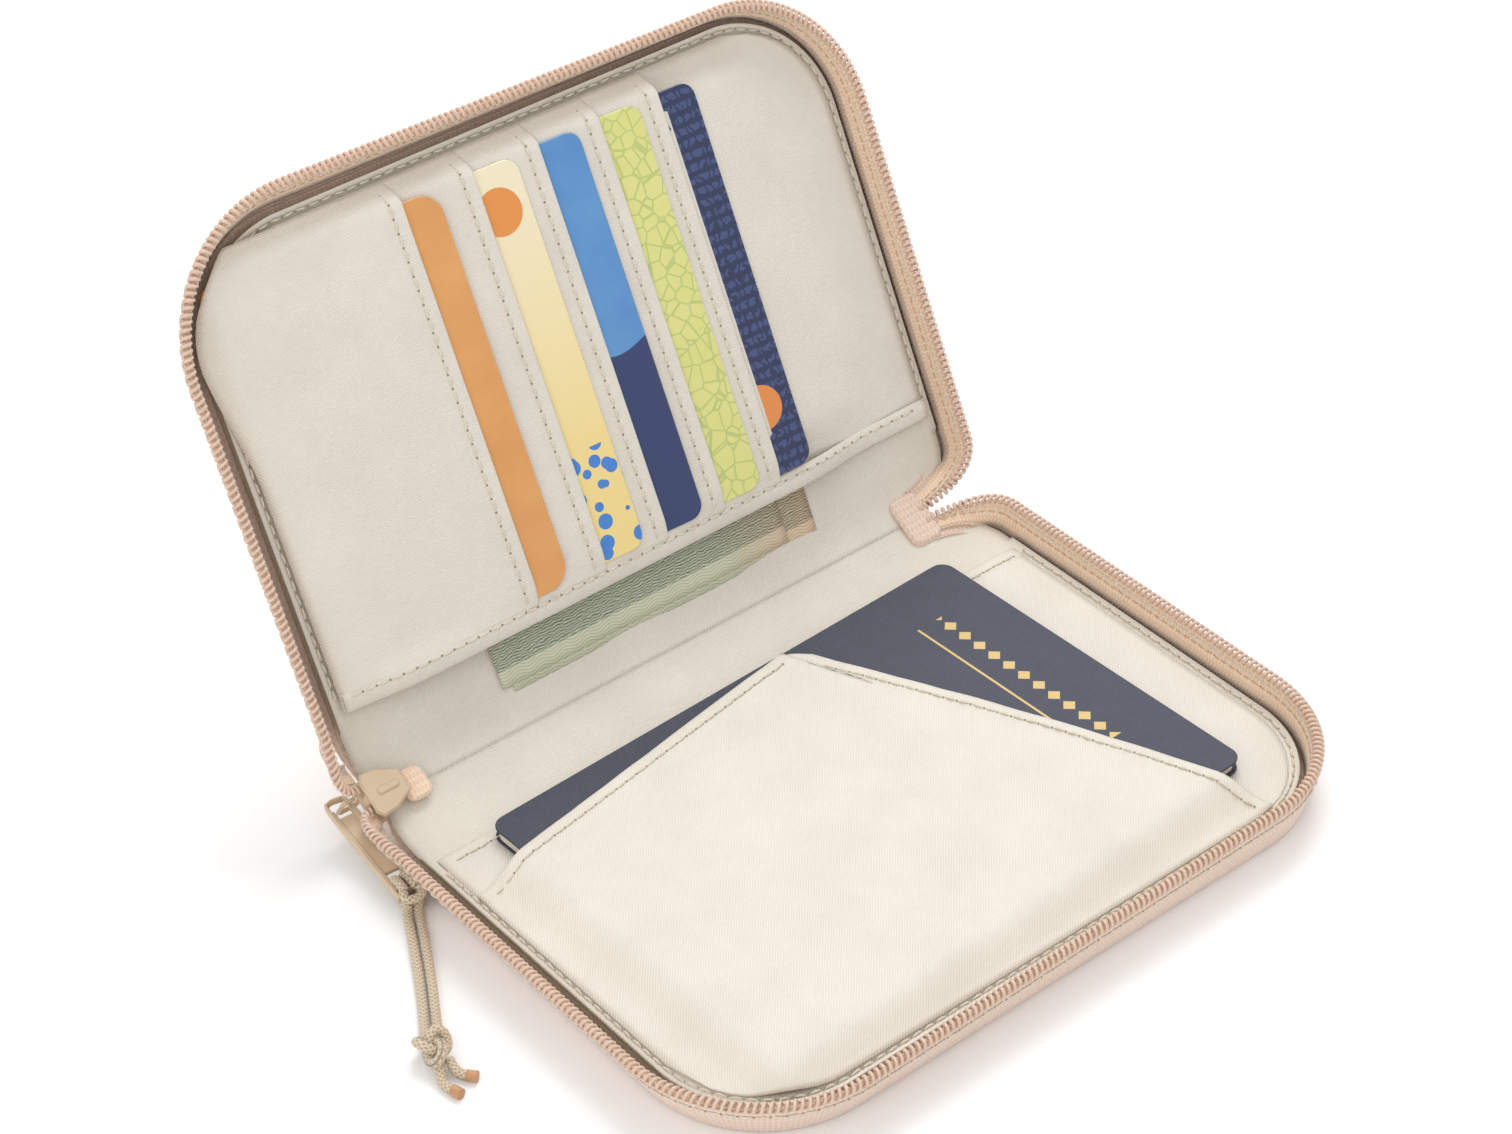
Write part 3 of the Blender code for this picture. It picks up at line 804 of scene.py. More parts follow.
def passport_place(a, b, height):
    """A place on the passport: a runs from its right edge to the left, b from the fold to the front."""
    x = PASSPORT_CORNER[0] - a * math.cos(PASSPORT_TURN) + b * math.sin(PASSPORT_TURN)
    depth = PASSPORT_CORNER[1] + a * math.sin(PASSPORT_TURN) + b * math.cos(PASSPORT_TURN)
    return leaf_point("lower", x, depth, height)


def outside_passport(x, depth):
    over_x, over_d = PASSPORT_CORNER[0] - x, depth - PASSPORT_CORNER[1]
    a = over_x * math.cos(PASSPORT_TURN) + over_d * math.sin(PASSPORT_TURN)
    b = over_d * math.cos(PASSPORT_TURN) - over_x * math.sin(PASSPORT_TURN)
    return math.hypot(max(-a, a - PASSPORT_SIZE[0], 0.0), max(-b, b - PASSPORT_SIZE[1], 0.0))


def slip_height(x, depth):
    inside = edge_distance(x, depth) - SEAM_INSET
    puff = 0.25 * rough(x, depth, 20.0, 9.0) * smooth(0, 14, inside)
    free = outside_passport(x, depth) > 3
    return 4.75 + 0.25 * smooth(0, 6, inside) + (puff if free else 0.0)


def pocket_height(x, depth):
    inside = edge_distance(x, depth) - SEAM_INSET
    over = 1 - smooth(0.0, 10.0, outside_passport(x, depth))
    height = 5.3 + (PASSPORT_TOP + 0.55 - 5.3) * over
    puff = (0.38 * rough(x, depth, 17.0, 2.0) + 0.5 * smooth(0.0, 30, outside_passport(x, depth)))
    return height + abs(puff) * smooth(0, 10, inside)


def panel_grid(name, leaf, sides, downs, place, height_of, material, slot, *nodes):
    """A pocket's cloth: place(side, down) gives (x, depth, hem lift) over the whole panel."""
    rows, uvs = [], []
    for down in downs:
        row, uv = [], []
        for side in sides:
            x, depth, lift = place(side, down)
            row.append(leaf_point(leaf, x, depth, height_of(x, depth) + lift))
            uv.append((x, depth))
        rows.append(row)
        uvs.append(uv)
    made = grid_object(name, rows, uvs, material, 0.4, offset=0.0)
    return belongs(made, leaf + "_leaf", slot, *nodes)


def slip_place(share, down):
    depth = SLIP_EDGE + down
    over = max(depth - (DEPTH - CORNER_RADIUS), 0.0)
    radius = CORNER_RADIUS - SEAM_INSET
    half = HALF_WIDTH - CORNER_RADIUS + math.sqrt(max(radius ** 2 - over ** 2, 0.0))
    return share * half, depth, hem_lift(down)


slip_down = DEPTH - SEAM_INSET - SLIP_EDGE
slip = panel_grid("slip_pocket", "lower", np.linspace(-1, 1, 90), marks(slip_down - 0.1, 1.8), slip_place,
                  slip_height, POCKET, "lining_cloth", "slip_pocket_panel")
slip_line = [(x, SLIP_EDGE + 2.8) for x in np.linspace(-75, 75, 80)]
panel_stitch("slip_pocket_stitch", "lower", slip_line, slip_height, 0.6)

POCKET_TOP = ((-77.4, 37.0), (4.0, 23.4), (12.0, 22.8), (17.0, 26.5))
pocket_top = round_path([(x, depth, 0.0) for x, depth in POCKET_TOP], 1.0)[:, :2]
pocket_run = np.concatenate([[0.0], np.cumsum(np.linalg.norm(np.diff(pocket_top, axis=0), axis=1))])
POCKET_WIDTH = float(pocket_run[-1])
POCKET_FOOT = 59.5


def pocket_place(from_right, share):
    """from_right is how far along the top edge, and share runs from the top edge to the front seam."""
    mark = POCKET_WIDTH - from_right
    top = np.array([np.interp(mark, pocket_run, pocket_top[:, axis]) for axis in range(2)])
    part = mark / POCKET_WIDTH
    foot_x = -77.4 + (POCKET_FOOT + 77.4) * part ** 0.9
    foot = np.array([foot_x, far_depth(foot_x, SEAM_INSET)])
    place = top + (foot - top) * share
    place[0] += 1.6 * math.sin(math.pi * share) * part ** 3
    return place[0], place[1], 0.0


pocket_side = np.array([pocket_place(0.0, share)[:2] for share in np.linspace(0, 1, 60)])
pocket_edge = np.concatenate([pocket_top, pocket_side[1:]])


def pocket_lift(x, depth):
    """The hem's lift, from the distance to the pocket's cut edge."""
    starts, ends = pocket_edge[:-1], pocket_edge[1:]
    way = ends - starts
    share = ((np.array([x, depth]) - starts) * way).sum(1) / np.maximum((way ** 2).sum(1), 1e-9)
    nearest = starts + way * np.clip(share, 0, 1)[:, None]
    return hem_lift(float(np.linalg.norm(nearest - (x, depth), axis=1).min()))


def hemmed_place(from_right, share):
    x, depth, _ = pocket_place(from_right, share)
    return x, depth, pocket_lift(x, depth)


def inside_line(line, inset):
    """A line moved to its right, along the hem's stitching."""
    way = np.gradient(line, axis=0)
    way /= np.linalg.norm(way, axis=1)[:, None]
    return line + np.stack([-way[:, 1], way[:, 0]], axis=1) * inset


pocket_length = 90.0
fine_sides = (0.0, 0.4, 1.0, 2.0, 3.0, 4.0, 5.0, 6.0, 7.0, 8.0)
pocket = panel_grid("passport_pocket", "lower", marks(POCKET_WIDTH, 1.1, fine_sides)[::-1],
                    [down / pocket_length for down in marks(pocket_length, 1.2)], hemmed_place, pocket_height, POCKET,
                    "lining_cloth", "passport_pocket_panel")
top_line = inside_line(pocket_top, 2.8)[2:-9]
side_line = inside_line(pocket_side, 2.8)[2:-1]
panel_stitch("passport_pocket_top_stitch", "lower", top_line, pocket_height, 0.62)
panel_stitch("passport_pocket_side_stitch", "lower", side_line, pocket_height, 0.62)
for leaf, height_of in (("lower", lambda x, depth: 5.3), ("upper", lambda x, depth: 5.5)):
    panel_stitch(leaf + "_seam_stitch", leaf, seam_places(2.9, 27.0, 24.0), height_of, 0.1)


# ---------------------------------------------------------------- the passport
def cover_material():
    """Dark grained book cloth with a generic row of gold shapes."""
    made = new_material("passport_book_cloth", roughness=0.55)
    n = Nodes(made)
    u, v, vector = n.uv()
    grain = n.add("ShaderNodeTexVoronoi", {"Vector": vector, "Scale": 2.2}).outputs["Distance"]
    cloud = n.noise(vector, 0.15)
    tone = n.math("MULTIPLY_ADD", grain, 0.5, n.math("MULTIPLY", cloud, 0.4))
    base = n.mix(tone, rgb(40, 44, 60), rgb(66, 70, 88))
    inside = n.math("MULTIPLY", n.math("LESS_THAN", n.math("ABSOLUTE", n.math("SUBTRACT", u, 14.5)), 1.7),
                    n.math("LESS_THAN", n.math("ABSOLUTE", n.math("SUBTRACT", v, 40.0)), 26.0))
    lozenge = n.math("LESS_THAN", n.math("ADD", n.math("PINGPONG", v, 2.2),
                                         n.math("ABSOLUTE", n.math("SUBTRACT", u, 14.5))), 1.7)
    foil = n.math("MULTIPLY", inside, lozenge)
    line = n.math("MULTIPLY", n.math("LESS_THAN", n.math("ABSOLUTE", n.math("SUBTRACT", u, 20.5)), 0.28),
                  n.math("LESS_THAN", n.math("ABSOLUTE", n.math("SUBTRACT", v, 40.0)), 26.0))
    foil = n.math("MAXIMUM", foil, line)
    n.colour(n.mix(foil, base, rgb(186, 164, 118)))
    n.set("Metallic", foil)
    n.bump(grain, 0.25, 0.0001)
    return made


def page_material():
    made = new_material("page_edges", roughness=0.85)
    n = Nodes(made)
    parts = n.add("ShaderNodeSeparateXYZ", {0: n.add("ShaderNodeTexCoord").outputs["Object"]})
    height = n.math("MULTIPLY", parts.outputs[2], 1000.0)
    lines = n.wave(n.math("ADD", height, n.math("MULTIPLY", n.noise(n.uv()[2], 0.4), 0.1)), 0.24)
    n.colour(n.mix(lines, rgb(206, 198, 182), rgb(240, 234, 220)))
    n.bump(lines, 0.6, 0.0001)
    return made


def book_outline(inset_right, inset_left, inset_fold, inset_front, radius):
    """The passport's outline, in its own (a, b), clockwise from above because a runs to the left."""
    width = PASSPORT_SIZE[0] - inset_right - inset_left
    length = PASSPORT_SIZE[1] - inset_fold - inset_front
    middle = (inset_right + width / 2, inset_fold + length / 2)
    return [(a + middle[0], b + middle[1]) for a, b in rounded_box(width, length, radius)]


COVER = cover_material()
PAGES = page_material()
passport_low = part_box("passport_cover")[0].z / MM
boards = []
for low, high in ((passport_low, passport_low + 0.5), (PASSPORT_TOP - 0.5, PASSPORT_TOP)):
    boards.append(plate("passport_board", book_outline(0, 0, 0.2, 0, 3.2), low, high, passport_place, COVER, 0.12))
bend = [(-0.1, passport_low + 0.4), (-0.9, passport_low + 1.3), (-0.9, PASSPORT_TOP - 1.1), (-0.1, PASSPORT_TOP - 0.3),
        (0.5, PASSPORT_TOP - 0.3), (0.5, passport_low + 0.4)]
spine_rows = [[passport_place(a, b + 0.9, height) for b, height in bend] for a in np.linspace(3, 122, 30)]
flat_points = [point for row in spine_rows for point in row]
boards.append(mesh_object("passport_bend", flat_points, grid_faces(30, 6, wrap=True),
                          [(30 + index // 6 * 2, 3 + index % 6) for index in range(180)], COVER))
belongs(joined("passport_covers", boards), "passport", "passport_cover", "passport_cover")
page_block = plate("page_block", book_outline(0.7, 0.4, 1.0, 0.7, 3.0), passport_low + 0.55, PASSPORT_TOP - 0.55,
                   passport_place, PAGES, 0.1)
belongs(page_block, "passport", "pages", "passport_pages")


# ---------------------------------------------------------------- upper leaf: note pocket, cards and slots
def note_base(x, depth):
    if x > 33:
        rise = 10.9 - 5.4 * smooth(41.0, 77.0, x)
    else:
        rise = 5.5 + 5.0 * smooth(-30.0, 40.0, x)
    ends = (0.3 + 0.7 * smooth(NOTE_EDGE, NOTE_EDGE + 14, depth)) * (1 - smooth(DEPTH - 13, DEPTH - 4, depth))
    puff = 0.3 * rough(x, depth, 18.0, 6.0) * smooth(44, 56, x)
    return 5.7 + (rise - 5.5) * ends + puff * smooth(0, 10, edge_distance(x, depth) - SEAM_INSET)


def note_place(share, down):
    depth = NOTE_EDGE + down
    over = max(depth - (DEPTH - CORNER_RADIUS), 0.0)
    radius = CORNER_RADIUS - SEAM_INSET
    half = HALF_WIDTH - CORNER_RADIUS + math.sqrt(max(radius ** 2 - over ** 2, 0.0))
    return share * half, depth, 0.0


def band_height(x, depth):
    crown = smooth(-79, -58, x) * (1 - smooth(40, 62, x))
    return 6.7 + 3.5 * crown + 0.5 * smooth(NOTE_EDGE, NOTE_EDGE + 2.0, depth) + 0.15 * rough(x, depth, 9.0, 4.0)


note_down = DEPTH - SEAM_INSET - NOTE_EDGE
notes_pocket = panel_grid("note_pocket", "upper", np.linspace(-1, 1, 90), marks(note_down - 0.1, 1.8), note_place,
                          note_base, POCKET, "lining_cloth", "note_pocket_panel")
BAND_DOWNS = (0.0, 0.4, 1.2, 2.4, 3.4, 4.2, 4.4)


def band_place(x, down):
    """A place on the hem band, whose two long edges turn down."""
    to_edge = min(down, BAND_DOWNS[-1] - down)
    return x, NOTE_EDGE - 0.2 + down, -0.5 * (1 - smooth(0, 0.7, to_edge))


panel_grid("note_pocket_hem", "upper", np.linspace(-77.2, 77.2, 120), BAND_DOWNS, band_place, band_height,
           POCKET, "lining_cloth")
panel_stitch("note_pocket_hem_stitch", "upper", [(x, NOTE_EDGE + 3.0) for x in np.linspace(-76, 76, 100)],
             band_height, 0.25)


def card_plane(index, x):
    return CARD_EDGE_HEIGHT - (CARD_EDGES[index] - x) * math.tan(CARD_TILT)


def slot_height(index):
    def height_of(x, depth):
        over = card_plane(index, x) + 0.42
        start = band_height(x, depth) - 0.1
        start_share = smooth(27.0, 32.5, depth)
        end_share = 1 - smooth(115.0, 120.2, depth)
        height = start + (over - start) * start_share
        height = 6.2 + (height - 6.2) * end_share
        side = smooth(-79.0, -75.5, x) if index == 0 else 1.0
        return 5.9 + (height - 5.9) * side + 0.08 * rough(x, depth, 14.0, index)

    return height_of


def slot_left(index, depth):
    if index:
        return SLOT_EDGES[index] - 27.0
    radius = 23.4 + 3.6 * smooth(70.0, 104.0, depth)
    over = max(depth - (DEPTH - CORNER_RADIUS), 0.0)
    return -(HALF_WIDTH - CORNER_RADIUS) - math.sqrt(max(radius ** 2 - over ** 2, 0.0))


for index in range(5):
    edge = SLOT_EDGES[index]
    height_of = slot_height(index)

    def slot_place(share, depth, index=index, edge=edge):
        left = slot_left(index, depth)
        hem = share * 30.0
        distance = hem if share < 0.2 else 6.0 + (share - 0.2) / 0.8 * (edge - left - 6.0)
        return edge - distance, depth, hem_lift(distance) * 0.5

    shares = [mark / 30.0 for mark in (0.0, 0.3, 0.8, 1.8, 3.0, 3.5, 3.9, 4.6)] + list(np.linspace(0.2, 1, 24))
    depths = [27.4, 28.4, 29.4, 30.6, 32] + list(np.linspace(34, 114, 42)) + [115.2, 116.4, 117.6, 118.8, 119.6]
    panel = panel_grid(f"card_slot_{index + 1}", "upper", shares[::-1], depths, slot_place, height_of, POCKET,
                       "lining_cloth", f"card_slot_panel_{index + 1}")
    panel_stitch(f"card_slot_{index + 1}_stitch", "upper", [(edge - 2.9, depth) for depth in
                 np.linspace(28.5, 118.5, 70)], height_of, 0.4)


def card_material(index):
    """Plain printed cards: blocks, discs, cells and mazes of colour, with nothing written on them.

    u runs to the right from the card's left edge, and v from its end at the fold to its end at the front.
    """
    made = new_material(f"card_{index + 1}_print", roughness=0.32, coat=0.25)
    n = Nodes(made)
    u, v, vector = n.uv()

    def disc(at_u, at_v, radius):
        away = n.math("POWER", n.math("SUBTRACT", u, at_u), 2.0)
        away = n.math("ADD", away, n.math("POWER", n.math("SUBTRACT", v, at_v), 2.0))
        return n.math("LESS_THAN", n.math("SQRT", away), radius)

    cloud = n.noise(vector, 0.08, 3.0)
    if index == 0:
        face = n.mix(cloud, rgb(210, 142, 76), rgb(228, 170, 104))
    elif index == 1:
        face = n.mix(n.ramp(v, 20, 80), rgb(238, 214, 140), rgb(240, 228, 196))
        face = n.mix(disc(47.0, 76.0, 5.0), face, rgb(226, 146, 70))
        blobs = n.add("ShaderNodeTexVoronoi", {"Vector": vector, "Scale": 0.25}).outputs["Distance"]
        blobs = n.math("MULTIPLY", n.math("LESS_THAN", blobs, 0.42), n.math("LESS_THAN", v, 24.0))
        face = n.mix(blobs, face, rgb(64, 128, 208))
    elif index == 2:
        step = n.math("ADD", v, n.math("MULTIPLY", n.math("SINE", n.math("MULTIPLY", u, 0.3)), 1.2))
        face = n.mix(n.math("GREATER_THAN", step, 40.0), rgb(42, 58, 104), n.mix(cloud, rgb(70, 126, 190),
                                                                             rgb(104, 158, 210)))
    elif index == 3:
        settings = {"Vector": vector, "Scale": 0.3}
        cells = n.add("ShaderNodeTexVoronoi", settings, feature="DISTANCE_TO_EDGE").outputs[0]
        face = n.mix(n.math("LESS_THAN", cells, 0.05), n.mix(cloud, rgb(212, 214, 120), rgb(226, 222, 150)),
                     rgb(190, 200, 120))
    else:
        lines = n.math("MULTIPLY", n.wave(n.math("ADD", u, n.math("MULTIPLY", n.noise(vector, 0.5), 5)), 1.8),
                       n.wave(v, 2.6))
        face = n.mix(n.math("GREATER_THAN", lines, 0.3), rgb(38, 48, 84), rgb(64, 78, 124))
        face = n.mix(disc(46.0, 15.0, 5.0), face, rgb(224, 140, 70))
    n.colour(face)
    n.set("Roughness", n.math("MULTIPLY_ADD", cloud, 0.15, 0.25))
    n.bump(n.noise(vector, 3.0), 0.08, 0.00005)
    return made


for index in range(5):
    left = CARD_EDGES[index] - CARD_SIZE[0]
    outline = rounded_box(CARD_SIZE[0], CARD_SIZE[1], 5.0 if index == 0 else 3.18)
    outline = [(a + CARD_SIZE[0] / 2, b + CARD_SIZE[1] / 2) for a, b in outline]

    def card_place(a, b, height, index=index, left=left):
        under = card_plane(index, left + a) - CARD_SIZE[2]
        return leaf_point("upper", left + a, CARD_BOTTOM + b, under + height)

    card = plate(f"card_{index + 1}_plastic", outline, 0.0, CARD_SIZE[2], card_place, card_material(index), 0.14)
    belongs(card, f"card_{index + 1}", f"card_{index + 1}", f"card_{index + 1}")


def note_material():
    """Banknote paper with generic engraved rosettes and line work."""
    made = new_material("banknote_paper", roughness=0.8)
    n = Nodes(made)
    u, v, vector = n.uv()
    paper = n.mix(n.noise(vector, 0.1), rgb(198, 204, 176), rgb(222, 220, 196))
    paper = n.mix(n.ramp(u, 58.0, 80.0), paper, rgb(226, 196, 166))
    rings = n.add("ShaderNodeTexWave", {"Vector": vector, "Scale": 0.55, "Distortion": 7.0, "Detail": 2.0},
                  wave_type="RINGS").outputs["Fac"]
    lines = n.wave(n.math("ADD", v, n.math("MULTIPLY", n.wave(u, 6.0), 0.8)), 0.7)
    strip = n.math("LESS_THAN", n.math("ABSOLUTE", n.math("SUBTRACT", v, 7.5)), 3.8)
    ink = n.math("MULTIPLY", strip, n.math("MULTIPLY_ADD", rings, 0.7, n.math("MULTIPLY", lines, 0.3)))
    fine = n.math("MULTIPLY", n.math("GREATER_THAN", lines, 0.75), 0.3)
    ink = n.math("MINIMUM", n.math("MAXIMUM", ink, fine), 0.85)
    n.colour(n.mix(ink, paper, rgb(70, 92, 78)))
    n.bump(n.noise(vector, 0.4), 0.3, 0.0002)
    return made


NOTE_PAPER = note_material()
note_parts = []
for layer, (left, right, start) in enumerate(((-42.4, 34.0, 13.2), (-40.0, 41.8, 11.6), (-36.5, 38.5, 10.0))):
    rows, uvs = [], []
    for depth in np.linspace(start, 69.0, 26):
        row, uv = [], []
        for x in np.linspace(left, right, 40):
            curl = 0.35 * (1 - smooth(start, start + 8.0, depth)) * (0.5 + rough(x, layer * 9.0, 25.0))
            row.append(leaf_point("upper", x, depth, 4.95 + 0.28 * (2 - layer) + max(curl, 0.0)))
            uv.append((x - left, depth - start))
        rows.append(row)
        uvs.append(uv)
    note_parts.append(grid_object("note_sheet", rows, uvs, NOTE_PAPER, 0.11, offset=0.0))
belongs(joined("note_bundle", note_parts), "banknotes", "banknotes", "banknotes")


# ---------------------------------------------------------------- slider, pull and cord
SLIDER_MIDDLE = (-77.0, 13.2)
PULL_PIVOT = spine_point(-84.5, 15.5, -1.4)
BAR_MIDDLE = np.array([-86.0, ORIGIN_Y - 24.0, 4.2])
pull_length = unit(BAR_MIDDLE - PULL_PIVOT)
pull_width = unit(np.cross(pull_length, (0.0, 0.0, 1.0)))
pull_out = unit(np.cross(pull_width, pull_length))
if pull_out[2] < 0:
    pull_out = -pull_out


def slider_place(a, b, height):
    return spine_point(SLIDER_MIDDLE[0] + a, SLIDER_MIDDLE[1] + b, height)


shield = [(-4.5, -3.6), (-3.4, -5.0), (0.2, -4.6), (3.2, -3.2), (4.5, -2.4), (4.5, 2.4), (3.2, 3.2), (0.2, 4.6),
          (-3.4, 5.0), (-4.5, 3.6), (-4.3, 1.2), (-4.3, -1.2)]
neck = [(a - 3.1, b) for a, b in rounded_box(2.6, 2.6, 0.8)]
ridge = [(a + 0.4, b) for a, b in rounded_box(5.0, 1.6, 0.7)]
slider_parts = [
    plate("slider_inner", shield, 5.4, 6.7, slider_place, ENAMEL, 0.45),
    plate("slider_outer", shield, 0.6, 1.9, slider_place, ENAMEL, 0.45),
    plate("slider_neck", neck, 1.8, 5.5, slider_place, ENAMEL, 0.1),
    plate("slider_ridge", ridge, 6.5, 7.1, slider_place, ENAMEL, 0.25),
]
belongs(joined("slider_casting", slider_parts), "slider", "slider_enamel", "slider_body")
for node in ("puller_tab", "slider_bail"):
    for item in bpy.data.objects:
        if item.name == node:
            item.data.materials.clear()
            item.data.materials.append(ENAMEL)


def pull_place(a, b, height):
    """a is across the tab, b along it from the pivot, height out of its face."""
    return PULL_PIVOT + pull_width * a + pull_length * b + pull_out * height


def pull_tab():
    """The pull's cast tab: raised rims round a sunk face, an eye at one end and a window at the other."""
    reach = float(np.linalg.norm(BAR_MIDDLE - PULL_PIVOT))
    parts = []
    half = 2.8
    rim = [(-1.7, -2.3), (1.7, -2.3), (2.8, 1.0), (2.8, reach + 0.4), (2.0, reach + 1.2), (-2.0, reach + 1.2),
           (-2.8, reach + 0.4), (-2.8, 1.0)]
    rim = round_path([(a, b, 0) for a, b in rim] + [(rim[0][0], rim[0][1], 0)], 0.6)[:-1, :2]
    ups = [pull_out] * (len(rim) + 1)
    loop = [pull_place(a * 0.87, b, 0.0) for a, b in rim]
    rim_section = [(x * 0.42, y * 0.9) for x, y in circle(1.0, 10)]
    parts.append(sweep("pull_rim", loop + [loop[0]], rim_section, ups, ENAMEL))
    face = [(a, b + 5.0 + (reach - 12.0) / 2) for a, b in rounded_box(2 * half - 1.0, reach - 7.0, 0.5)]
    parts.append(plate("pull_face", face, -0.55, 0.55, pull_place, ENAMEL, 0.1))
    for start in (-half + 0.7, half - 0.7):
        rail = [pull_place(start, b, 0.0) for b in np.linspace(0.5, reach, 12)]
        parts.append(sweep("pull_rail", rail, [(x * 0.55, y * 0.9) for x, y in circle(1.0, 8)], [pull_out] * 12,
                           ENAMEL))
    bar = [pull_place(a, reach, 0.0) for a in np.linspace(-2.5, 2.5, 8)]
    parts.append(sweep("pull_bar", bar, circle(0.85, 12), [pull_out] * 8, ENAMEL))
    return joined("pull_casting", parts)


belongs(pull_tab(), "puller", "slider_enamel", "puller_tab")


def cord_tube(name, path, radius, material, step=0.35):
    path = round_path(path, step)
    up = np.array([0.0, 0.0, 1.0])
    ups = []
    for index in range(len(path)):
        way = unit(path[min(index + 1, len(path) - 1)] - path[max(index - 1, 0)])
        up = unit(up - way * np.dot(up, way))
        ups.append(up)
    section = circle(radius, 14)
    made = sweep(name, path, section, ups, material)
    return made, path


LEG_A = ((-88.6, -28.6, 1.1), (-91.4, -34.0, 1.1), (-94.4, -39.6, 1.1), (-97.6, -45.4, 1.1), (-101.0, -51.2, 1.1),
         (-104.6, -57.0, 1.4))
LEG_SHIFT = (2.0, -1.1)
KNOT = (-106.6, -63.0, 3.8)
KNOT_TURN = math.radians(-22)


def table_place(point):
    return np.array([point[0], ORIGIN_Y + point[1], point[2]])


knot_path = []
for step in range(61):
    turn = 2 * math.pi * step / 60
    a = (math.sin(turn) + 2 * math.sin(2 * turn)) * 1.05
    b = (math.cos(turn) - 2 * math.cos(2 * turn)) * 1.35
    up = -math.sin(3 * turn) * 1.25
    x = a * math.cos(KNOT_TURN) - b * math.sin(KNOT_TURN)
    y = a * math.sin(KNOT_TURN) + b * math.cos(KNOT_TURN)
    knot_path.append(table_place((KNOT[0] + x, KNOT[1] + y, KNOT[2] + up)))
knot, _ = cord_tube("cord_knot", knot_path, 1.0, BRAID)
belongs(knot, "pull_cord", "pull_cord", "pull_cord_knot")
tips = []
for name, start, points in (("a", (-105.6, -66.4, 2.2), ((-105.7, -69.4, 1.1), (-103.8, -72.2, 1.1))),
                            ("b", (-107.9, -66.6, 2.2), ((-109.4, -69.8, 1.1), (-108.6, -73.8, 1.1)))):
    places = [table_place(point) for point in (start,) + points]
    stub, stub_path = cord_tube("cord_stub_" + name, places, 1.0, BRAID)
    belongs(stub, "pull_cord", "pull_cord", "pull_cord_end_" + name)
    last = stub_path[-1]
    way = unit(stub_path[-1] - stub_path[-3])
    tip, _ = cord_tube("cord_tip_" + name, [last - way * 1.6, last - way * 0.4, last + way * 0.5], 1.12, MELTED)
    belongs(tip, "pull_cord", "cord_ends")
    tips += [stub, tip]


def bar_place(along, across, out):
    return BAR_MIDDLE + pull_length * along + pull_width * across + pull_out * out


hitch_paths = (
    [bar_place(2.6, -1.3, 1.8), bar_place(0.6, -1.2, 1.9), bar_place(-1.4, -1.1, 1.2), bar_place(-2.0, -1.0, 0.0),
     bar_place(-1.4, -1.0, -1.4), bar_place(0.8, -1.1, -2.0), bar_place(3.2, -1.6, -1.8), bar_place(4.6, -1.2, -1.2)],
    [bar_place(2.6, 1.3, 1.8), bar_place(0.6, 1.2, 1.9), bar_place(-1.4, 1.1, 1.2), bar_place(-2.0, 1.0, 0.0),
     bar_place(-1.4, 1.0, -1.4), bar_place(0.8, 1.1, -2.0), bar_place(3.2, 1.6, -1.8), bar_place(4.6, 1.0, -1.2)],
    [bar_place(2.4, -1.6, 1.7), bar_place(3.9, -1.9, 1.1), bar_place(4.6, 0.0, 0.9), bar_place(3.9, 1.9, 1.1),
     bar_place(2.4, 1.6, 1.7)],
)
hitch = joined("cord_hitch", [cord_tube("hitch_part", path, 0.95, BRAID)[0] for path in hitch_paths])
belongs(hitch, "pull_cord", "pull_cord", "pull_cord_hitch")
for name, shift, first in (("a", (0.0, 0.0), -1.3), ("b", LEG_SHIFT, 1.3)):
    places = [bar_place(3.2, first * -0.9, -0.6)]
    places += [table_place((x + shift[0], y + shift[1], z)) for x, y, z in LEG_A]
    places.append(table_place((KNOT[0] + 1.2 * (name == "b"), KNOT[1] + 2.8, 2.8)))
    strand, strand_path = cord_tube("cord_strand_" + name, places, 1.0, BRAID, 0.5)
    belongs(strand, "pull_cord", "pull_cord", "pull_cord_leg_" + name)
    length = float(np.linalg.norm(np.diff(strand_path, axis=0), axis=1).sum())

# ---------------------------------------------------------------- zip ends at the spine
for name, middle, size, material, slot in (("right", (64.5, 12.0, 2.7), (8.0, 12.0), SHELL, "shell_cloth"),
                                           ("left", (-70.2, 12.0, 3.7), (6.0, 7.0), TAPE, "zip_tape")):
    def end_place(a, b, height, middle=middle):
        return spine_point(middle[0] + a, middle[1] + b, middle[2] + height)

    tab = plate("zip_stop_" + name, rounded_box(size[0], size[1], 2.0), -0.9, 0.9, end_place, material, 0.6)
    belongs(tab, "spine", slot, "zip_end_" + name)

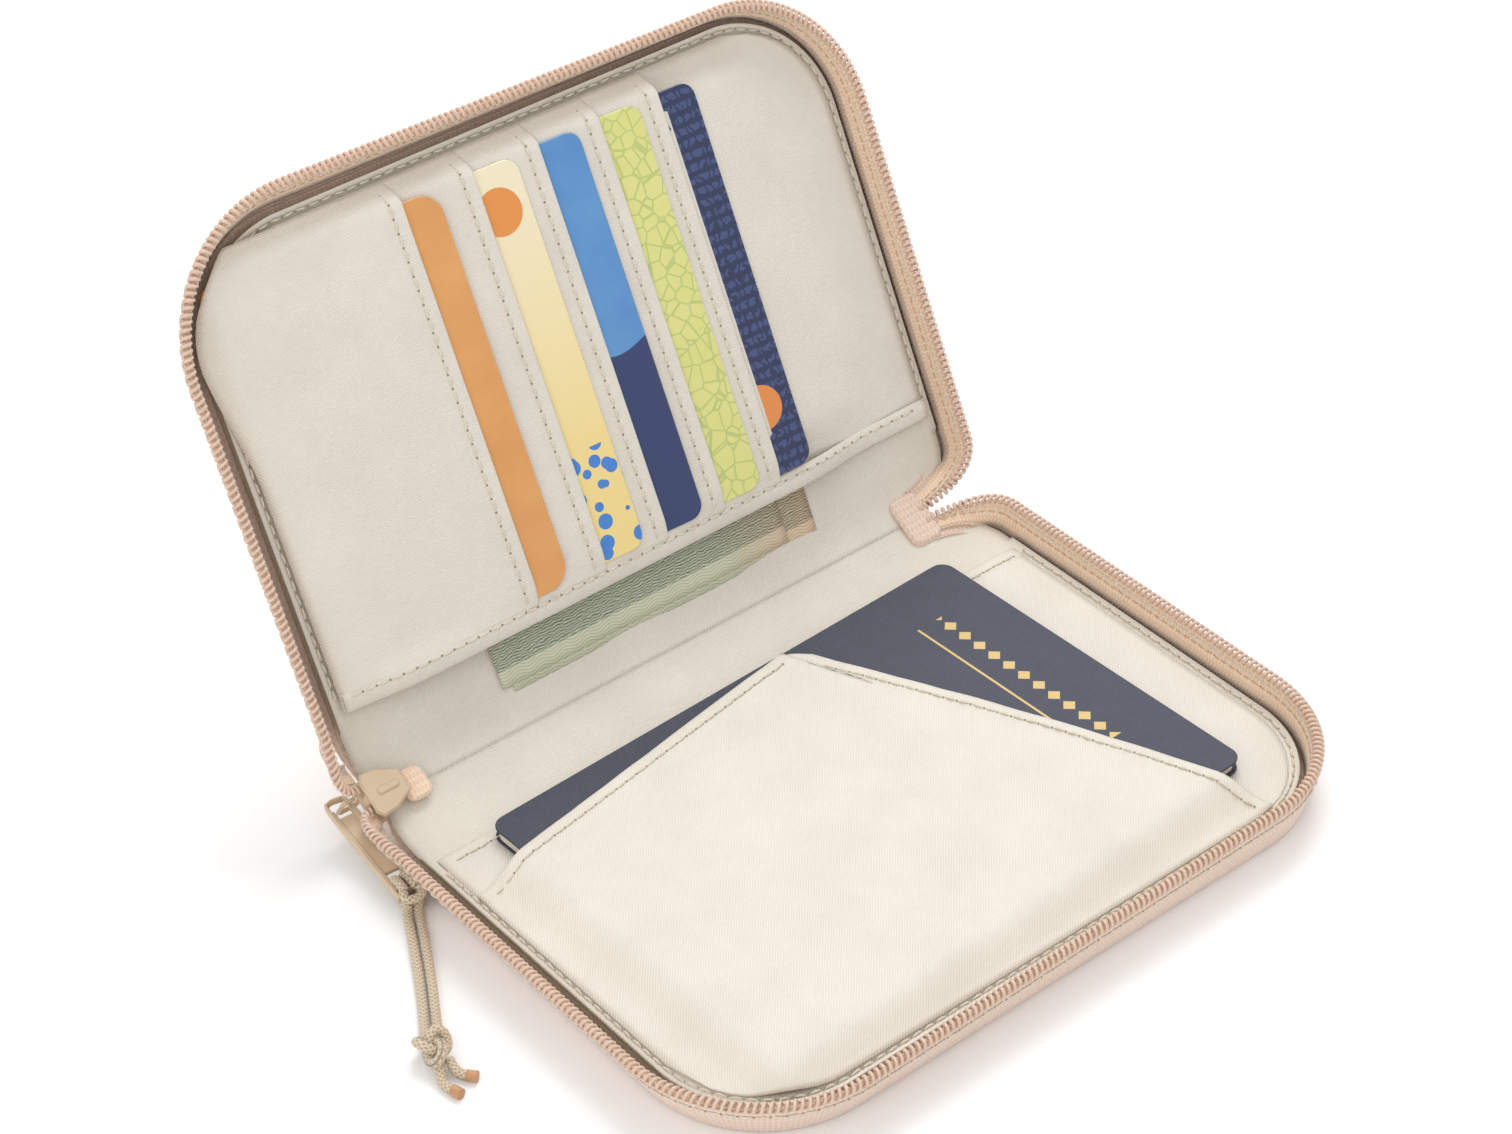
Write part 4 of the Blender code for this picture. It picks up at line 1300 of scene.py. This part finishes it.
# ---------------------------------------------------------------- pieces kept from the frame
BOARD = plain_material("board_fibre", rgb(206, 196, 176), rgb(186, 174, 150), 0.9, 700.0, 0.4)
FOAM = plain_material("foam_cells", rgb(232, 230, 224), rgb(210, 206, 198), 0.95, 2600.0, 0.8)
for item in [found for found in bpy.data.objects if found.name in frame["nodes"] and found.type == "MESH"]:
    wanted = BOARD if "board" in item.name else FOAM if "foam" in item.name else ENAMEL
    item.data.materials.clear()
    item.data.materials.append(wanted)

# ---------------------------------------------------------------- camera, light and ground
floor = mesh_object("studio_floor", [(-3000, -3000, -0.02), (3000, -3000, -0.02), (3000, 3000, -0.02),
                                     (-3000, 3000, -0.02)], [(0, 1, 2, 3)], [(0, 0), (1, 0), (1, 1), (0, 1)],
                    plain_material("studio_paper", rgb(250, 250, 250), rgb(247, 247, 247), 0.9, 5.0, 0.0))

camera_data = bpy.data.cameras.new("camera")
camera_data.lens = 84.83
camera_data.sensor_width = 36.0
camera = bpy.data.objects.new("camera", camera_data)
camera.location = np.array([-351.18, -469.61 + ORIGIN_Y, 484.32]) * MM
camera.rotation_euler = [math.radians(turn) for turn in (51.91, 1.09, -39.45)]
bpy.context.scene.collection.objects.link(camera)
bpy.context.scene.camera = camera


def soft_light(name, place, aim, size, power):
    data = bpy.data.lights.new(name, "AREA")
    data.size = size
    data.energy = power
    made = bpy.data.objects.new(name, data)
    made.location = place
    made.rotation_euler = (Vector(aim) - Vector(place)).to_track_quat("-Z", "Y").to_euler()
    bpy.context.scene.collection.objects.link(made)


soft_light("key_light", (0.5, 0.5, 1.1), (0.0, 0.0, 0.03), 0.7, 8.0)
soft_light("fill_light", (-0.9, -0.5, 0.8), (0.0, 0.0, 0.03), 1.2, 5.0)
world = bpy.data.worlds.new("studio")
world.use_nodes = True
world.node_tree.nodes["Background"].inputs[0].default_value = (1.0, 1.0, 1.0, 1.0)
world.node_tree.nodes["Background"].inputs[1].default_value = 0.75
bpy.context.scene.world = world
bpy.context.scene.view_settings.view_transform = "Standard"
